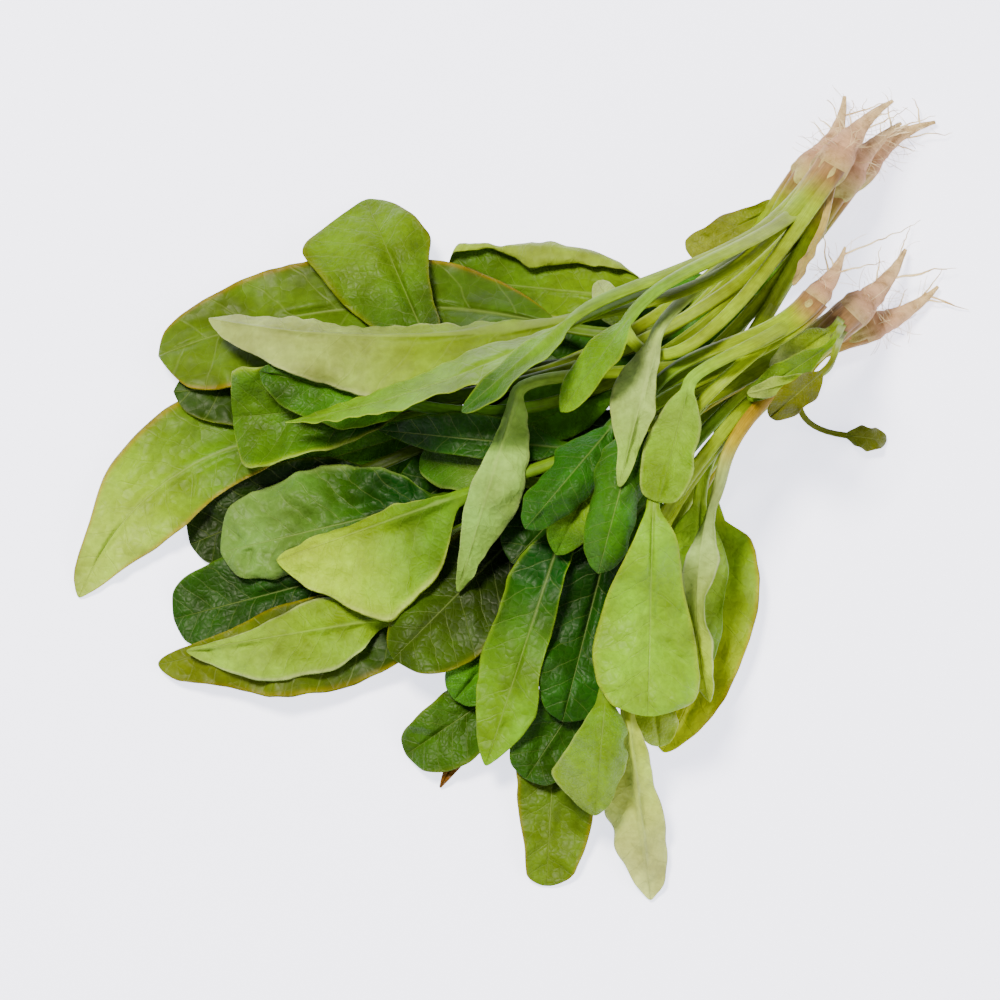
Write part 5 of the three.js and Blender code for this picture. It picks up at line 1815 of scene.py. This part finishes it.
# -------------------- a plant
@dataclass
class Plant:
    """One plant of the bunch: leaves, crown, taproot, rootlets and root hairs.

    Attributes:
        shape: its sizes.
        index: its number in the bunch, from the lowest.
    """

    shape: PlantShape
    index: int

    def __post_init__(self) -> None:
        """Makes its forms, coarse and fine, before it is laid on the pile."""
        self.forms = [LeafForm(self.shape, leaf, i) for i, leaf in enumerate(self.shape.leaves)]
        self.leaves = [FineLeaf(form, 1000 * (self.index + 1) + 10 * i)
                       for i, form in enumerate(self.forms)]
        self.crown = Crown(Axes.of(self.shape), self.shape.girth, len(self.shape.leaves),
                           70 + self.index)
        self.taproot = Taproot(self.shape, 100 + self.index)
        self.crown_rings, self.crown_along = self.crown.fine()
        self.root_rings, self.root_along = self.taproot.fine()
        root, self.rootlets = self.taproot.coarse()
        self.coarse_leaves = [form.coarse() for form in self.forms]
        tubes = [round_rings(line, np.full(len(line), ROOTLET_RADIUS), ROOTLET_SIDES)
                 for line in self.rootlets]
        self.coarse_round = [self.crown.coarse(), root, *tubes]

    def coarse_places(self) -> Array:
        """Places spread over every packed face of the plant."""
        parts = [self.spread_leaf(rings) for rings in self.coarse_leaves]
        for rings in self.coarse_round:
            faces = triangles_of(round_faces(*rings.shape[:2]))
            parts.append(over_faces(rings.reshape(-1, 3), faces))
        return np.concatenate(parts)

    @staticmethod
    def spread_leaf(rings: Array) -> Array:
        """Places spread over every packed face of a leaf."""
        return over_faces(rings.reshape(-1, 3), coarse_leaf_faces(len(rings)))

    def raise_all(self, maps: HeightMap, lift: Array) -> None:
        """Lifts the whole plant by a field."""
        for rings in (*self.coarse_leaves, *self.coarse_round, self.crown_rings,
                      self.root_rings, *self.rootlets):
            rings[..., 2] += maps.at(lift, rings)
        for leaf in self.leaves:
            leaf.raise_by(maps.at(lift, leaf.middle))

    def lay(self, maps: HeightMap, pile: Array) -> None:
        """Lays the plant on the pile and adds it to the pile."""
        low = maps.lowest(self.coarse_places())
        self.raise_all(maps, maps.lift(pile, low, PLANT_GAP, True))
        own = maps.filled(-NOTHING)
        for rings, leaf in zip(self.coarse_leaves, self.leaves):
            free = np.ones(len(rings))
            free[: len(STALK_STATIONS)] = coarse_freedom()
            low = maps.lowest(self.spread_leaf(rings[free > 0.5]))
            lift = maps.lift(own, low, LEAF_GAP, True)
            rings[..., 2] += maps.at(lift, rings) * free[:, None]
            leaf.raise_by(maps.at(lift, leaf.middle) * leaf.freedom())
            maps.highest(self.spread_leaf(rings), own)
        for stiffness in (STIFFNESS, LAST_STIFFNESS):
            low = maps.lowest(self.coarse_places())
            self.raise_all(maps, maps.lift(pile, low, CLEAR_GAP, False, stiffness))
        maps.highest(self.coarse_places(), pile)

    def settle(self, maps: HeightMap, pile: Array) -> None:
        """Lifts each fine leaf a little where it would cut into what is below it."""
        for leaf in self.leaves:
            low = maps.lowest(leaf.dense(leaf.bottom), leaf.dense(leaf.top))
            need = maps.need(pile + SETTLE_GAP, low, SETTLE_MOST)
            lift = maps.blur(maps.spread(maps.widen(need), 14), 1)
            leaf.raise_by(maps.at(lift, leaf.middle) * leaf.freedom() ** 2, 2)
            for surface in (leaf.top, leaf.bottom):
                maps.highest(leaf.dense(surface), pile)

    def coarse_points(self) -> Array:
        """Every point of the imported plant."""
        bodies = (*self.coarse_leaves, *self.coarse_round)
        return np.concatenate([rings.reshape(-1, 3) for rings in bodies])

    def dress(self, finishes: "Finishes", place: "Placing") -> None:
        """Makes the plant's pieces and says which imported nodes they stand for.

        Args:
            finishes: the materials and growers.
            place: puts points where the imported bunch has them.
        """
        name = self.shape.name
        for number, leaf in enumerate(self.leaves, 1):
            skin = leaf.skin()
            skin.places = place.put(skin.places)
            piece = mesh_object(f"{name}_leaf_{number}", skin, finishes.leaf)
            self.keep(piece, f"{name}_leaves", "leaf")
        skin = round_skin(place.put(self.crown_rings), self.crown_along, self.crown.colours)
        self.keep(mesh_object(f"{name}_crown", skin, finishes.root), f"{name}_leaves", "leaf")
        skin = round_skin(place.put(self.root_rings), self.root_along, self.taproot.colours)
        root = mesh_object(f"{name}_taproot", skin, finishes.root)
        lines = [place.put(line) for line in self.rootlets]
        tubes = finishes.tubes.grow(lines, 300 + self.index, finishes.hair, f"{name}_rootlets")
        hairs = finishes.hairs.grow(root, 500 + self.index, finishes.hair, f"{name}_root_hairs")
        for piece in (root, tubes, hairs):
            self.keep(piece, f"{name}_root", "root")

    @staticmethod
    def keep(piece: bpy.types.Object, node: str, slot: str) -> None:
        """Ties a piece to the body and hides the imported node that it stands for."""
        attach(piece, BODY)
        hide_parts(node)
        LOG.info("%s: %d faces, for %s", piece.name, len(piece.data.polygons), node)


@dataclass(frozen=True)
class Placing:
    """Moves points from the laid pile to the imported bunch: the pile leans in as it rises.

    Attributes:
        offset: what is taken off every point so that the bunch is centred, mm.
    """

    offset: Array

    @staticmethod
    def lean(points: Array) -> Array:
        """Draws points in toward a far point as they rise."""
        share = points[..., 2:3] / LEAN_TOWARD[2]
        out = points.copy()
        out[..., :2] += (LEAN_TOWARD[:2] - points[..., :2]) * share
        return out

    def put(self, points: Array) -> Array:
        """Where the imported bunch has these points; nothing goes below the table."""
        out = self.lean(points) - self.offset
        out[..., 2] = np.maximum(out[..., 2], 0.0)
        return out


@dataclass(frozen=True)
class Finishes:
    """The materials and the growers that the plants share."""

    leaf: bpy.types.Material
    root: bpy.types.Material
    hair: bpy.types.Material
    tubes: RootletTubes
    hairs: RootHairs

    @staticmethod
    def make() -> "Finishes":
        """Builds them all once."""
        return Finishes(SpinachLeafSkin().make(), RootSkin().make(), RootHairSkin().make(),
                        RootletTubes(), RootHairs())


@dataclass
class Bunch:
    """All the plants, piled from the lowest to the top.

    Attributes:
        shapes: the plants' sizes, in that order.
        fine_cell: side of a cell of the map on which the fine leaves settle, mm.
    """

    shapes: tuple[PlantShape, ...] = PLANTS
    fine_cell: float = 1.5

    def build(self) -> Array:
        """Lays the plants down, dresses them and reports each.

        Returns:
            The offset between the pile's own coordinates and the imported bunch, mm.
        """
        plants = [Plant(shape, i) for i, shape in enumerate(self.shapes)]
        maps = HeightMap()
        pile = maps.filled(0.0)
        for plant in plants:
            plant.lay(maps, pile)
        fine = HeightMap(self.fine_cell)
        pile = fine.filled(-1e3)
        for plant in plants:
            plant.settle(fine, pile)
        points = Placing.lean(np.concatenate([plant.coarse_points() for plant in plants]))
        low, high = points.min(0), points.max(0)
        offset = np.array([(low[0] + high[0]) / 2, (low[1] + high[1]) / 2, low[2] + REST_FLAT])
        finishes = Finishes.make()
        for plant in plants:
            plant.dress(finishes, Placing(offset))
            LOG.info("plant %s: %d leaves", plant.shape.name, len(plant.leaves))
        LOG.info("packed size %s, offset %s", high - low, offset)
        return offset


# -------------------- studio
@dataclass(frozen=True)
class Lamp:
    """A soft square lamp that faces the bunch; metres, watts and a linear, warm white."""

    name: str
    place: tuple[float, float, float]
    size: float
    power: float
    colour: tuple[float, float, float] = (1.0, 0.93, 0.74)

    def hang(self) -> None:
        """Adds the lamp."""
        data = bpy.data.lights.new(self.name, "AREA")
        data.color = self.colour
        data.shape = "SQUARE"
        data.size = self.size
        data.energy = self.power
        lamp = add_object(self.name, data)
        lamp.location = self.place
        lamp.rotation_euler = (-Vector(self.place)).to_track_quat("-Z", "Y").to_euler()


@dataclass(frozen=True)
class Studio:
    """Pale floor, soft lamps and the camera.

    Attributes:
        offset: what was taken off every point when the bunch was centred, mm.
        distance: from the camera to the point that it looks at, mm.
        elevation: of the camera above the table, degrees.
        frame_width: what the view spans at that point, mm.
        sensor: the camera's sensor width, mm.
        floor_half: half the side of the floor, metres.
        floor_drop: how far it lies under the bunch, metres.
        room: linear colour of the room's even light.
        room_strength: how strong it is.
        lamps: what hangs over the bunch.
    """

    offset: Array
    distance: float = 1225.0
    elevation: float = 70.0
    frame_width: float = 360.0
    sensor: float = 36.0
    floor_half: float = 6.0
    floor_drop: float = 0.0002
    room: tuple[float, float, float] = (0.96, 0.96, 1.0)
    room_strength: float = 0.4
    lamps: tuple[Lamp, ...] = (
        Lamp("Key lamp", (-0.42, 0.22, 1.4), 0.35, 52.0),
        Lamp("Fill lamp", (0.9, -0.6, 1.0), 0.9, 17.0))

    def camera(self) -> None:
        """Sets the camera over the bunch."""
        tilt = math.radians(self.elevation)
        aim = -self.offset
        eye = aim + self.distance * np.array([0.0, -math.cos(tilt), math.sin(tilt)])
        data = bpy.data.cameras.new("Camera")
        data.sensor_width = self.sensor
        data.lens = self.sensor * self.distance / self.frame_width
        data.clip_end = 50.0
        camera = add_object("Camera", data)
        camera.location = Vector(eye * METRES)
        view = Vector((aim - eye) * METRES)
        camera.rotation_euler = view.to_track_quat("-Z", "Y").to_euler()
        bpy.context.scene.camera = camera

    def floor(self) -> None:
        """Lays the floor under the bunch."""
        mesh = bpy.data.meshes.new("floor")
        half = self.floor_half
        mesh.from_pydata([(-half, -half, 0), (half, -half, 0), (half, half, 0), (-half, half, 0)],
                         [], [(0, 1, 2, 3)])
        mesh.materials.append(MattPaint().make())
        floor = add_object("floor", mesh)
        floor.location.z = -self.floor_drop

    def light(self) -> None:
        """Fills the room with even light and hangs the lamps."""
        world = bpy.data.worlds.new("Studio light")
        world.use_nodes = True
        ground = world.node_tree.nodes["Background"]
        ground.inputs["Color"].default_value = (*self.room, 1.0)
        ground.inputs["Strength"].default_value = self.room_strength
        bpy.context.scene.world = world
        for lamp in self.lamps:
            lamp.hang()


def main() -> None:
    """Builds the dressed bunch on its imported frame."""
    logging.basicConfig(level=logging.INFO, format="%(name)s: %(message)s")
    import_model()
    offset = Bunch().build()
    studio = Studio(offset)
    studio.floor()
    studio.light()
    studio.camera()


if __name__ == "__main__":
    main()
